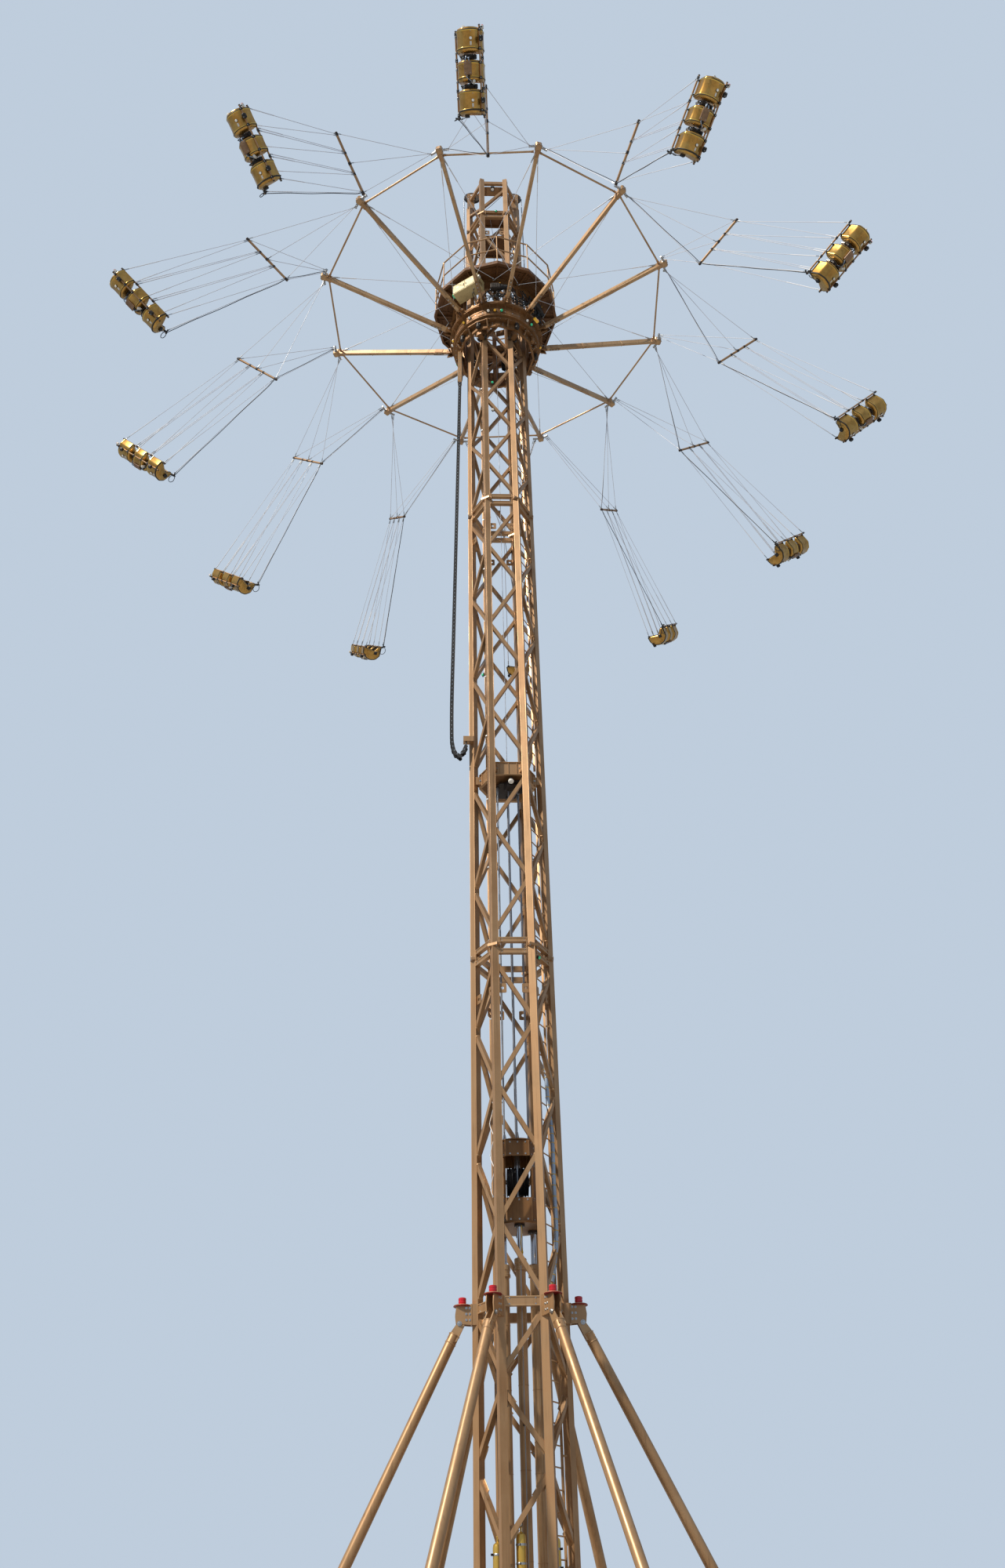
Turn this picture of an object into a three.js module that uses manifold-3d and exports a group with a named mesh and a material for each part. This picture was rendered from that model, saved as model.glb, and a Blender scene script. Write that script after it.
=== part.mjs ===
// Chair swing tower ride: a hexagonal lattice tower with a carriage that climbs it, a slewing ring
// with twelve arms, and twelve three-seat gondolas that hang from cables between the arm tips.
// Units are millimetres, +Z is up, and the origin is the tower's axis at ground level.

import * as THREE from 'three';
import { mergeVertices } from 'three/addons/utils/BufferGeometryUtils.js';
import Module from 'manifold-3d';

const wasm = await Module();
wasm.setup();

// Driving dimensions of the tower
const GAP = 0.3;                    // clearance where two pieces lie face to face
const TOWER_RADIUS = 655;           // tower axis to the middle of a corner post
const POST = 120;                   // square corner post, turned so that one edge points outward
const POST_REACH = POST * Math.SQRT1_2;   // a post's middle to its outer edge
const BRACE = 70;                   // square lattice bar
const BRACE_RADIUS = 655;           // the bars meet each post within one of its faces
const SECTION_JOINTS = [750, 11895, 23040, 34185];
const JOINT_PLATE = 24;             // end plates of two posts, bolted face to face
const BELT_DROP = 110;              // a joint to the belt of bars nearest to it
const STRUT_COLLAR = 6000;
const HEAD_TOP = 35870;
const SIDE_POST_TOP = 35400;        // the two side posts stop short under their sheaves

// Head sheaves and the ropes to the carriage
const SHEAVE_RADIUS = 220;
const SHEAVE_CENTRE = new THREE.Vector2(580, 35930);
const SHEAVE_WIDTH = 70;
const ROPE = 26;
const INSIDE_ROPE_RADIUS = SHEAVE_CENTRE.x - SHEAVE_RADIUS - ROPE / 2 - GAP;
const OUTSIDE_ROPE_RADIUS = SHEAVE_CENTRE.x + SHEAVE_RADIUS + ROPE / 2 + GAP;

// Base and struts
const BASE_HEIGHT = 260;
const SHOE_TOP = 420;
const STRUT_TOP = new THREE.Vector2(935, 5800);
const STRUT_FOOT = new THREE.Vector2(3700, 330);
const STRUT_TUBE = 160;
const STRUT_BRACKET_MIDDLE = STRUT_COLLAR - 70;
const STRUT_BRACKET_WIDTH = 140;
const STRUT_BRACKET_TALL = 300;

// Lift gear
const CYLINDER_RING = 270;          // tower axis to a lift cylinder's axis
const CYLINDER_TUBE = 150;
const CYLINDER_BASE = 700;
const CYLINDER_TOP = 6700;
const GLAND_LENGTH = 200;
const ROD_DIAMETER = 90;
const BLOCK_BOTTOM = 7200;
const BLOCK_TOP = 8560;
const DECK_BEAM_LOW = 15600;        // the mid deck inside the tower
const DECK_BEAM_HIGH = 15900;
const DECK_LUG_WIDTH = 110;
const DECK_LUG_TALL = 180;
const DECK_SHEAVE = 300;

// Carriage, platform and rotor
const CARRIAGE_BORE = 880;          // tower axis to the inside of the carriage
const CARRIAGE_BOTTOM = 28800;
const CHAIN_TOP = 27640;            // lower end of the hanger that the energy chain is fixed to
const CARRIAGE_LUG_TOP = 31120;
const RING_BOTTOM = 29050;
const RING_TOP = 29480;
const CROWN_RADIUS = 1100;          // the rotor's upper ring, which the stays pull on
const CROWN_BOTTOM = 30270;
const CROWN_TOP = 30360;
const DECK_TOP = 30530;
const DECK_SHEET = 30;
const DECK_RADIUS = 1600;
const RAIL_HEIGHT = 1100;

// Energy chain: one loop beside the left post, set out on its middle line as [radius, height]
const CHAIN_BRACKET = 16640;
const CHAIN_MIDDLE = [
  [930, CHAIN_TOP - GAP], [960, 25600], [1010, 22500], [1060, 19500], [1090, 17800], [1092, 16900],
  [1080, 16600], [1035, 16400], [950, 16310], [865, 16390], [815, 16520], [802, CHAIN_BRACKET - GAP],
];
const CHAIN_DEPTH = 80;
const CHAIN_WIDTH = 120;
const CHAIN_OFFSET = -96;           // it hangs a little to the front of the post

// Arms
const ARM_COUNT = 12;
const ARM_STEP = Math.PI / 6;
const FLAT = Math.cos(ARM_STEP / 2);  // a twelve-sided ring's flat lies this much nearer than its corner
const FIRST_ARM = THREE.MathUtils.degToRad(-18.7);
const TIP_RADIUS = 4454;
const TIP_HEIGHT = 30790;
const ROOT_RADIUS = 1262;
const ROOT_HEIGHT = 29540;
const ARM_WIDTH = 80;               // an arm is a box section, taller than it is wide
const ARM_TALL = 140;
const ARM_HEAD = 170;
const FORK_GAP = ARM_WIDTH + 2 * GAP;  // between the two ears that hold an arm's root
const FORK_EAR = 24;
const TIE_TUBE = 45;
const STAY = 12;
const STAY_TURN = 1.5 * ARM_STEP;   // a stay ends between the second and third arm along
const STAY_SPREAD = 20;             // crossing stays pass over and under each other by this much
const HINGE_RADIUS = 4500;          // tower axis to the cable pins on an arm's head
const HEAD_PIN = 50;
const HEAD_PIN_END = 120;

// Hangers and gondolas
const SWING_ANGLE = THREE.MathUtils.degToRad(40);
const LAG_ANGLE = THREE.MathUtils.degToRad(4);
const BAR_DROP = 2700;              // cable pins to the spreader bar
const BAR_LENGTH = 1410;
const BAR_TUBE = 56;
const HUB_LENGTH = 110;
const HUB_TUBE = 60;
const CABLE = 14;
const RAIL_DROP = 6420;             // cable pins to the gondola's back rail
const RAIL_LENGTH = 1500;
const RAIL_TUBE = 36;               // gondola rails and platform railing
const SEAT_PITCH = 510;
const SEAT_WIDTHS = [400, 340, 400];
const BACK_RAIL = new THREE.Vector2(-225, 0);
const FRONT_RAIL = new THREE.Vector2(262, -100);  // lies on the cheeks' front corners
const LOWER_RAIL = new THREE.Vector2(240, -335);  // runs under the seats' sloping fronts
const TUB_SIDE = 20;                // thickness of a bucket seat's cheeks
const TUB_OUTLINE = [
  [-190, -10], [-185, -270], [-85, -385], [55, -420], [165, -390], [285, -270],
  [300, -120], [230, -110], [-5, -165], [-115, -20],
];
const TUB_HOLLOW = [
  [-165, 20], [-160, -262], [-75, -362], [55, -395], [155, -367], [262, -258], [274, -130], [274, 20],
];

const UP = new THREE.Vector3(0, 0, 1);

// Finishes
const bronzePaint = new THREE.MeshStandardMaterial({ color: 0xb98d58, roughness: 0.42, metalness: 0.55 });
const darkBronze = new THREE.MeshStandardMaterial({ color: 0x8a6236, roughness: 0.5, metalness: 0.5 });
const seatGold = new THREE.MeshStandardMaterial({ color: 0xc89a30, roughness: 0.32, metalness: 0.6 });
const cableSteel = new THREE.MeshStandardMaterial({ color: 0xd6d8dc, roughness: 0.35, metalness: 0.8 });
const blackPlastic = new THREE.MeshStandardMaterial({ color: 0x15161a, roughness: 0.6, metalness: 0.0 });
const cabinetPaint = new THREE.MeshStandardMaterial({ color: 0xd9c89a, roughness: 0.5, metalness: 0.1 });

// Solids
function solid(geometry) {
  const bare = geometry.clone();
  bare.deleteAttribute('normal');
  bare.deleteAttribute('uv');
  const merged = mergeVertices(bare, 0.001);
  return new wasm.Manifold(new wasm.Mesh({
    numProp: 3,
    vertProperties: new Float32Array(merged.attributes.position.array),
    triVerts: new Uint32Array(merged.index.array),
  }));
}

function unite(solids) {
  return solids.reduce((sum, next) => sum.add(next));
}

function geometryOf(manifold) {
  const mesh = manifold.getMesh();
  const geometry = new THREE.BufferGeometry();
  geometry.setAttribute('position', new THREE.BufferAttribute(mesh.vertProperties, 3));
  geometry.setIndex(new THREE.BufferAttribute(mesh.triVerts, 1));
  return geometry;
}

// A point at an angle from the tower's front, a radius and a height
function polar(angle, radius, height) {
  return new THREE.Vector3(Math.sin(angle) * radius, -Math.cos(angle) * radius, height);
}

function outward(angle) {
  return polar(angle, 1, 0);
}

// A frame whose Z runs from one point to the other, with X as near to side as it can be
function frameAlong(from, to, side) {
  const z = to.clone().sub(from).normalize();
  const y = z.clone().cross(side).normalize();
  const x = y.clone().cross(z);
  const middle = from.clone().add(to).multiplyScalar(0.5);
  return new THREE.Matrix4().makeBasis(x, y, z).setPosition(middle);
}

function beam(from, to, side, width, depth) {
  const geometry = new THREE.BoxGeometry(width, depth, from.distanceTo(to));
  return solid(geometry.applyMatrix4(frameAlong(from, to, side)));
}

function rod(from, to, diameter, sides = 8) {
  const length = from.distanceTo(to);
  const geometry = new THREE.CylinderGeometry(diameter / 2, diameter / 2, length, sides);
  geometry.rotateX(Math.PI / 2);
  const direction = to.clone().sub(from).normalize();
  const side = Math.abs(direction.z) < 0.9 ? UP : new THREE.Vector3(1, 0, 0);
  return solid(geometry.applyMatrix4(frameAlong(from, to, side)));
}

function block(angle, radius, height, radial, tangential, tall) {
  const geometry = new THREE.BoxGeometry(tangential, radial, tall);
  geometry.rotateZ(angle);
  const centre = polar(angle, radius, height);
  return solid(geometry.translate(centre.x, centre.y, centre.z));
}

function polygon(radius, sides, firstCorner) {
  const turn = (2 * Math.PI) / sides;
  return Array.from({ length: sides }, (_, i) => new THREE.Vector2(
    radius * Math.sin(firstCorner + i * turn),
    -radius * Math.cos(firstCorner + i * turn),
  ));
}

// A flat ring about the tower's axis, or a disc where the inner radius is nought
function ring(inner, outer, bottom, top, sides) {
  const firstCorner = sides === 6 ? Math.PI / 6 : 0;
  const shape = new THREE.Shape(polygon(outer, sides, firstCorner));
  if (inner > 0) {
    shape.holes.push(new THREE.Path(polygon(inner, sides, firstCorner)));
  }
  const geometry = new THREE.ExtrudeGeometry(shape, { depth: top - bottom, bevelEnabled: false });
  return solid(geometry.translate(0, 0, bottom));
}

// An outline of [across, up] points, extruded along the side vector and centred on the origin
function plate(outline, thickness, origin, across, up) {
  const shape = new THREE.Shape(outline.map(([a, b]) => new THREE.Vector2(a, b)));
  const geometry = new THREE.ExtrudeGeometry(shape, { depth: thickness, bevelEnabled: false });
  geometry.translate(0, 0, -thickness / 2);
  const side = across.clone().cross(up);
  return solid(geometry.applyMatrix4(new THREE.Matrix4().makeBasis(across, up, side).setPosition(origin)));
}

const ride = new THREE.Group();
ride.name = 'chair_swing_tower';

// Flat faces are left without spare corners before a piece becomes a mesh
function addNode(name, manifold, material) {
  const mesh = new THREE.Mesh(geometryOf(manifold.asOriginal().simplify(0.05)), material);
  mesh.name = name;
  ride.add(mesh);
}

function towards(from, to, distance) {
  return from.clone().add(to.clone().sub(from).normalize().multiplyScalar(distance));
}

// The tower's six corner posts stand at these angles from its front
function postAngle(i) {
  return THREE.MathUtils.degToRad(-90 + 60 * i);
}

function faceAngle(i) {
  return postAngle(i) + Math.PI / 6;
}

function postPoint(i, height, radius = TOWER_RADIUS) {
  return polar(postAngle(i), radius, height);
}

// A post stands with one edge outward, so its faces lie at 45 degrees to the tower's radius
function post(i, low, high) {
  return beam(postPoint(i, low), postPoint(i, high), outward(postAngle(i) + Math.PI / 4), POST, POST);
}

function posts(low, high) {
  const solids = [];
  for (let i = 0; i < 6; i += 1) {
    solids.push(post(i, low, high));
  }
  return solids;
}

// Flat pads that fill the corner on a post's outer side (+1) or inner side (-1), to bolt pieces to
function pads(side, middle, width, tall) {
  const solids = [];
  for (let i = 0; i < 6; i += 1) {
    solids.push(block(postAngle(i), TOWER_RADIUS + (side * POST_REACH) / 2, middle, POST_REACH, width, tall));
  }
  return solids;
}

// End plates stop flush with the posts' outer edges, where the carriage's guide shoes run.
// They lie above a joint (+1) or below it (-1).
function endPlates(joint, side) {
  const depth = 180;
  const width = 190;
  const middle = TOWER_RADIUS + POST_REACH - depth / 2;
  const height = joint + (side * (JOINT_PLATE + GAP)) / 2;
  const solids = [];
  for (let i = 0; i < 6; i += 1) {
    solids.push(block(postAngle(i), middle, height, depth, width, JOINT_PLATE));
  }
  return solids;
}

// Posts with their end plates, and the belt of bars next to each joint
function sectionShell(low, high) {
  const half = JOINT_PLATE / 2;
  return [
    ...posts(low + half, high - half),
    ...endPlates(low, 1),
    ...endPlates(high, -1),
    ...belt(high - BELT_DROP, 70, 90),
  ];
}

// A level belt of bars from post to post round the tower
function belt(height, width, depth) {
  const solids = [];
  for (let i = 0; i < 6; i += 1) {
    const from = postPoint(i, height, BRACE_RADIUS);
    const to = postPoint(i + 1, height, BRACE_RADIUS);
    solids.push(beam(from, to, UP, depth, width));
  }
  return solids;
}

// The post that an odd or an even level of lattice bars meets on face i
function faceEnd(i, odd) {
  return (i % 2 === 1) === odd ? i : i + 1;
}

function faceBar(i, lowOnOdd, low, high) {
  const from = postPoint(faceEnd(i, lowOnOdd), low, BRACE_RADIUS);
  const to = postPoint(faceEnd(i, !lowOnOdd), high, BRACE_RADIUS);
  return beam(from, to, outward(faceAngle(i)), BRACE, BRACE);
}

// One zigzag on each face: it climbs by one pitch a bar, and odd and even posts take turns
function zigzag(firstLevel, pitch, count, firstOnOdd) {
  const solids = [];
  for (let level = 0; level < count; level += 1) {
    const lowOnOdd = (level % 2 === 0) === firstOnOdd;
    const low = firstLevel + level * pitch;
    for (let i = 0; i < 6; i += 1) {
      solids.push(faceBar(i, lowOnOdd, low, low + pitch));
    }
  }
  return solids;
}

// Below the strut collar each bay has a bar of its own, with a gap to the next
function towerSectionLower() {
  const [low, high] = SECTION_JOINTS;
  const lowestBay = 1810;
  const bayCount = 4;
  const bayStep = 1070;
  const bayRise = 870;
  const solids = [
    ...sectionShell(low, high),
    ...belt(low + 130, 70, 110),
    ...belt(STRUT_COLLAR, 70, 140),
    ...pads(1, STRUT_BRACKET_MIDDLE, STRUT_BRACKET_WIDTH, STRUT_BRACKET_TALL),
    ...zigzag(STRUT_COLLAR + 80, 1104, 5, false),
  ];
  for (let bay = 0; bay < bayCount; bay += 1) {
    solids.push(...zigzag(lowestBay + bay * bayStep, bayRise, 1, bay % 2 === 1));
  }
  return unite(solids);
}

// A bracket on the left post holds the fixed end of the energy chain
function chainBracket() {
  const inner = TOWER_RADIUS;
  const outer = CARRIAGE_BORE - 20;
  const height = 120;
  const bracket = new THREE.BoxGeometry(outer - inner, CHAIN_WIDTH + 10, height);
  return solid(bracket.translate(-(inner + outer) / 2, CHAIN_OFFSET, CHAIN_BRACKET + height / 2));
}

function towerSectionMiddle() {
  const [, low, high] = SECTION_JOINTS;
  return unite([
    ...sectionShell(low, high),
    ...belt(low + BELT_DROP, 70, 90),
    ...zigzag(12170, 1114.5, 3, true),
    ...zigzag(16010, 1125, 6, false),
    ...pads(-1, (DECK_BEAM_LOW + DECK_BEAM_HIGH) / 2, DECK_LUG_WIDTH, DECK_LUG_TALL),
    chainBracket(),
  ]);
}

function towerSectionUpper() {
  const [, , low, high] = SECTION_JOINTS;
  return unite([
    ...sectionShell(low, high),
    ...belt(low + BELT_DROP, 70, 90),
    ...zigzag(23200, 1114.5, 9, false),
  ]);
}

// The two side posts stop short, and a rope sheave stands on each between two ear plates
function headSheave(side) {
  const centre = new THREE.Vector3(side * SHEAVE_CENTRE.x, 0, SHEAVE_CENTRE.y);
  const across = new THREE.Vector3(0, 1, 0);
  const along = (distance) => centre.clone().addScaledVector(across, distance);
  const ear = { offset: 60, tall: 700, width: 200, thickness: 20, shift: 40, foot: 60 };
  const pin = { reach: 80, diameter: 60 };
  const solids = [
    rod(along(-pin.reach), along(pin.reach), pin.diameter),
    rod(along(-SHEAVE_WIDTH / 2), along(SHEAVE_WIDTH / 2), 2 * SHEAVE_RADIUS, 16),
  ];
  for (const face of [-1, 1]) {
    const geometry = new THREE.BoxGeometry(ear.width, ear.thickness, ear.tall);
    const middle = SIDE_POST_TOP - ear.foot + ear.tall / 2;
    solids.push(solid(geometry.translate(side * (SHEAVE_CENTRE.x + ear.shift), face * ear.offset, middle)));
  }
  return unite(solids);
}

// Two of the six posts are the short side posts. The top belt stops at their sheaves' ears.
function towerHead() {
  const low = SECTION_JOINTS[3];
  const beltHeight = HEAD_TOP - 150;
  const barFoot = low + 300;
  const earReach = 83;
  const roofBottom = HEAD_TOP - 230;
  const roof = ring(0, TOWER_RADIUS - 60, roofBottom, roofBottom + 12, 6);
  const frontStrip = solid(new THREE.BoxGeometry(1400, 600, 60).translate(0, -550, roofBottom + 6));
  const solids = [
    ...endPlates(low, 1),
    ...belt(low + BELT_DROP, 70, 90),
    roof.intersect(frontStrip),
    headSheave(-1),
    headSheave(1),
  ];
  for (let i = 0; i < 6; i += 1) {
    const isSidePost = i % 3 === 0;
    const top = isSidePost ? SIDE_POST_TOP : HEAD_TOP;
    solids.push(post(i, low + JOINT_PLATE / 2, top));

    const from = postPoint(i, beltHeight, BRACE_RADIUS);
    const to = postPoint(i + 1, beltHeight, BRACE_RADIUS);
    const start = isSidePost ? towards(from, to, earReach) : from;
    const end = (i + 1) % 3 === 0 ? towards(to, from, earReach) : to;
    solids.push(beam(start, end, UP, 110, 70));

    // The face bars rise to the even posts, and stop lower on the short left one
    const risesToLeftPost = faceEnd(i, false) % 6 === 0;
    solids.push(faceBar(i, true, barFoot, risesToLeftPost ? SIDE_POST_TOP - 400 : HEAD_TOP - 440));
  }
  return unite(solids);
}

// The carriage rope drops from the head sheave's outer rim to the lug on the carriage
function carriageRope(side) {
  const x = side * OUTSIDE_ROPE_RADIUS;
  return rod(new THREE.Vector3(x, 0, CARRIAGE_LUG_TOP + GAP), new THREE.Vector3(x, 0, SHEAVE_CENTRE.y), ROPE, 6);
}

// A strut runs from a bracket on its post, with a round cap on top, down to a shoe on the base
function strut(i) {
  const angle = postAngle(i);
  const top = polar(angle, STRUT_TOP.x, STRUT_TOP.y);
  const foot = polar(angle, STRUT_FOOT.x, STRUT_FOOT.y);
  const bracket = { inner: TOWER_RADIUS + POST_REACH + GAP, depth: 260 };
  const bracketMiddle = bracket.inner + bracket.depth / 2;
  const cap = { radius: bracket.inner + 150, bottom: STRUT_COLLAR + 60, top: STRUT_COLLAR + 190, diameter: 150 };
  const shoeBottom = BASE_HEIGHT + GAP;
  return unite([
    rod(top, foot, STRUT_TUBE, 8),
    block(angle, bracketMiddle, STRUT_BRACKET_MIDDLE, bracket.depth, STRUT_BRACKET_WIDTH, STRUT_BRACKET_TALL),
    rod(polar(angle, cap.radius, cap.bottom), polar(angle, cap.radius, cap.top), cap.diameter, 8),
    block(angle, STRUT_FOOT.x, (SHOE_TOP + shoeBottom) / 2, 300, 180, SHOE_TOP - shoeBottom),
  ]);
}

// The base is a star of six beams on a hexagonal plate, with a stub under each corner post
function baseFrame() {
  const hubPlate = { radius: 980, tall: 120 };
  const footPlate = { side: 420, tall: 40 };
  const stub = { side: 200, bottom: 230, top: SECTION_JOINTS[0] - GAP / 2 };
  const beamReach = STRUT_FOOT.x + 120;
  const solids = [ring(0, hubPlate.radius, 0, hubPlate.tall, 6)];
  for (let i = 0; i < 6; i += 1) {
    const angle = postAngle(i);
    const beamEnd = polar(angle, beamReach, BASE_HEIGHT / 2);
    const stubMiddle = (stub.bottom + stub.top) / 2;
    solids.push(beam(polar(angle, 300, BASE_HEIGHT / 2), beamEnd, UP, BASE_HEIGHT, 200));
    solids.push(block(angle, STRUT_FOOT.x, footPlate.tall / 2, footPlate.side, footPlate.side, footPlate.tall));
    solids.push(block(angle, TOWER_RADIUS, stubMiddle, stub.side, stub.side, stub.top - stub.bottom));
  }
  return unite(solids);
}

// Lift gear inside the tower: three cylinders push the block of sheaves up
function cylinderAngle(i) {
  return (i * 2 * Math.PI) / 3;
}

function liftCylinders() {
  const glandBottom = CYLINDER_TOP - GLAND_LENGTH;
  const glandBore = ROD_DIAMETER + 2.5 * GAP;
  const tubeBore = ROD_DIAMETER + 20;
  const solids = [ring(0, 430, BASE_HEIGHT + GAP, BASE_HEIGHT + 60, 6)];
  const bores = [];
  for (let i = 0; i < 3; i += 1) {
    const at = (height) => polar(cylinderAngle(i), CYLINDER_RING, height);
    solids.push(rod(at(BASE_HEIGHT + 40), at(CYLINDER_TOP), CYLINDER_TUBE, 10));
    solids.push(rod(at(glandBottom), at(CYLINDER_TOP), CYLINDER_TUBE + 40, 10));
    bores.push(rod(at(CYLINDER_BASE), at(glandBottom), tubeBore, 10));
    bores.push(rod(at(glandBottom), at(CYLINDER_TOP + 10), glandBore, 10));
  }
  return unite(solids).subtract(unite(bores));
}

function hoistBlock() {
  const middle = (BLOCK_BOTTOM + BLOCK_TOP) / 2;
  const plateThickness = 60;
  const sheave = { radius: 60, height: middle + 60, diameter: 560, width: 70 };
  const solids = [
    ring(0, 410, BLOCK_BOTTOM, BLOCK_BOTTOM + plateThickness, 12),
    ring(0, 360, BLOCK_TOP - plateThickness, BLOCK_TOP, 12),
    rod(new THREE.Vector3(0, 0, BLOCK_BOTTOM + 20), new THREE.Vector3(0, 0, BLOCK_TOP - 20), 90, 6),
  ];
  for (let i = 0; i < 3; i += 1) {
    const angle = cylinderAngle(i);
    const rodFoot = polar(angle, CYLINDER_RING, CYLINDER_BASE + 500);
    const rodHead = polar(angle, CYLINDER_RING, BLOCK_BOTTOM + plateThickness / 2);
    solids.push(rod(rodFoot, rodHead, ROD_DIAMETER, 10));
    solids.push(block(angle + Math.PI / 3, 300, middle, 40, 160, BLOCK_TOP - BLOCK_BOTTOM - plateThickness));
    const hub = polar(angle, sheave.radius, sheave.height);
    const across = polar(angle + Math.PI / 2, sheave.width / 2, 0);
    solids.push(rod(hub.clone().sub(across), hub.clone().add(across), sheave.diameter, 14));
  }
  return unite(solids);
}

// The falls of rope between the moving block and the mid deck, joined by their anchor plate
function hoistFalls() {
  const anchorBottom = DECK_BEAM_LOW - 60;
  const fallRadius = 230;
  const fallDiameter = 24;
  const solids = [ring(0, 300, anchorBottom, anchorBottom + 30, 6)];
  for (let i = 0; i < 6; i += 1) {
    const angle = faceAngle(i);
    const low = polar(angle, fallRadius, BLOCK_TOP + GAP);
    const high = polar(angle, fallRadius, anchorBottom + 15);
    solids.push(rod(low, high, fallDiameter, 6));
  }
  return unite(solids);
}

// A rope climbs inside the tower from each deck sheave to the inner rim of a head sheave
function deckSheave(side) {
  const centre = new THREE.Vector3(side * (INSIDE_ROPE_RADIUS - DECK_SHEAVE / 2), 0, DECK_BEAM_HIGH + 150);
  const halfWidth = new THREE.Vector3(0, 40, 0);
  const stand = new THREE.BoxGeometry(160, 150, 450).translate(centre.x, 0, DECK_BEAM_LOW + 245);
  const ropeLow = new THREE.Vector3(side * INSIDE_ROPE_RADIUS, 0, centre.z);
  const ropeHigh = new THREE.Vector3(side * INSIDE_ROPE_RADIUS, 0, SHEAVE_CENTRE.y);
  return unite([
    rod(centre.clone().sub(halfWidth), centre.clone().add(halfWidth), DECK_SHEAVE, 12),
    solid(stand),
    rod(ropeLow, ropeHigh, ROPE, 6),
  ]);
}

// The mid deck is a six-sided frame inside the posts, with a lug towards each of them
function pulleyDeck() {
  const frameRadius = TOWER_RADIUS - POST_REACH - 35;
  const middle = (DECK_BEAM_LOW + DECK_BEAM_HIGH) / 2;
  const lug = { inner: frameRadius - 40, outer: TOWER_RADIUS - POST_REACH - GAP };
  const solids = [
    ring(frameRadius * 0.35, frameRadius, DECK_BEAM_LOW, DECK_BEAM_LOW + 40, 6),
    deckSheave(-1),
    deckSheave(1),
  ];
  for (let i = 0; i < 6; i += 1) {
    const from = polar(postAngle(i), frameRadius, middle);
    const to = polar(postAngle(i + 1), frameRadius, middle);
    solids.push(beam(from, to, UP, DECK_BEAM_HIGH - DECK_BEAM_LOW, 60));
    const lugMiddle = (lug.inner + lug.outer) / 2;
    solids.push(block(postAngle(i), lugMiddle, middle, lug.outer - lug.inner, DECK_LUG_WIDTH, DECK_LUG_TALL));
  }
  return unite(solids);
}

// The chain that feeds the carriage hangs from it and climbs back to its bracket in one loop
function energyChain() {
  const line = CHAIN_MIDDLE.map(([radius, height]) => new THREE.Vector2(radius, height));
  const edge = (sign) => line.map((point, n) => {
    const before = line[Math.max(n - 1, 0)];
    const after = line[Math.min(n + 1, line.length - 1)];
    const along = after.clone().sub(before).normalize();
    const atEnd = n === 0 || n === line.length - 1;
    const normal = atEnd ? new THREE.Vector2(along.y < 0 ? -1 : 1, 0) : new THREE.Vector2(along.y, -along.x);
    return point.clone().addScaledVector(normal, (sign * CHAIN_DEPTH) / 2);
  });
  const outline = [...edge(1), ...edge(-1).reverse()].map((point) => [point.x, point.y]);
  return plate(outline, CHAIN_WIDTH, new THREE.Vector3(0, CHAIN_OFFSET, 0), new THREE.Vector3(-1, 0, 0), UP);
}

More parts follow.
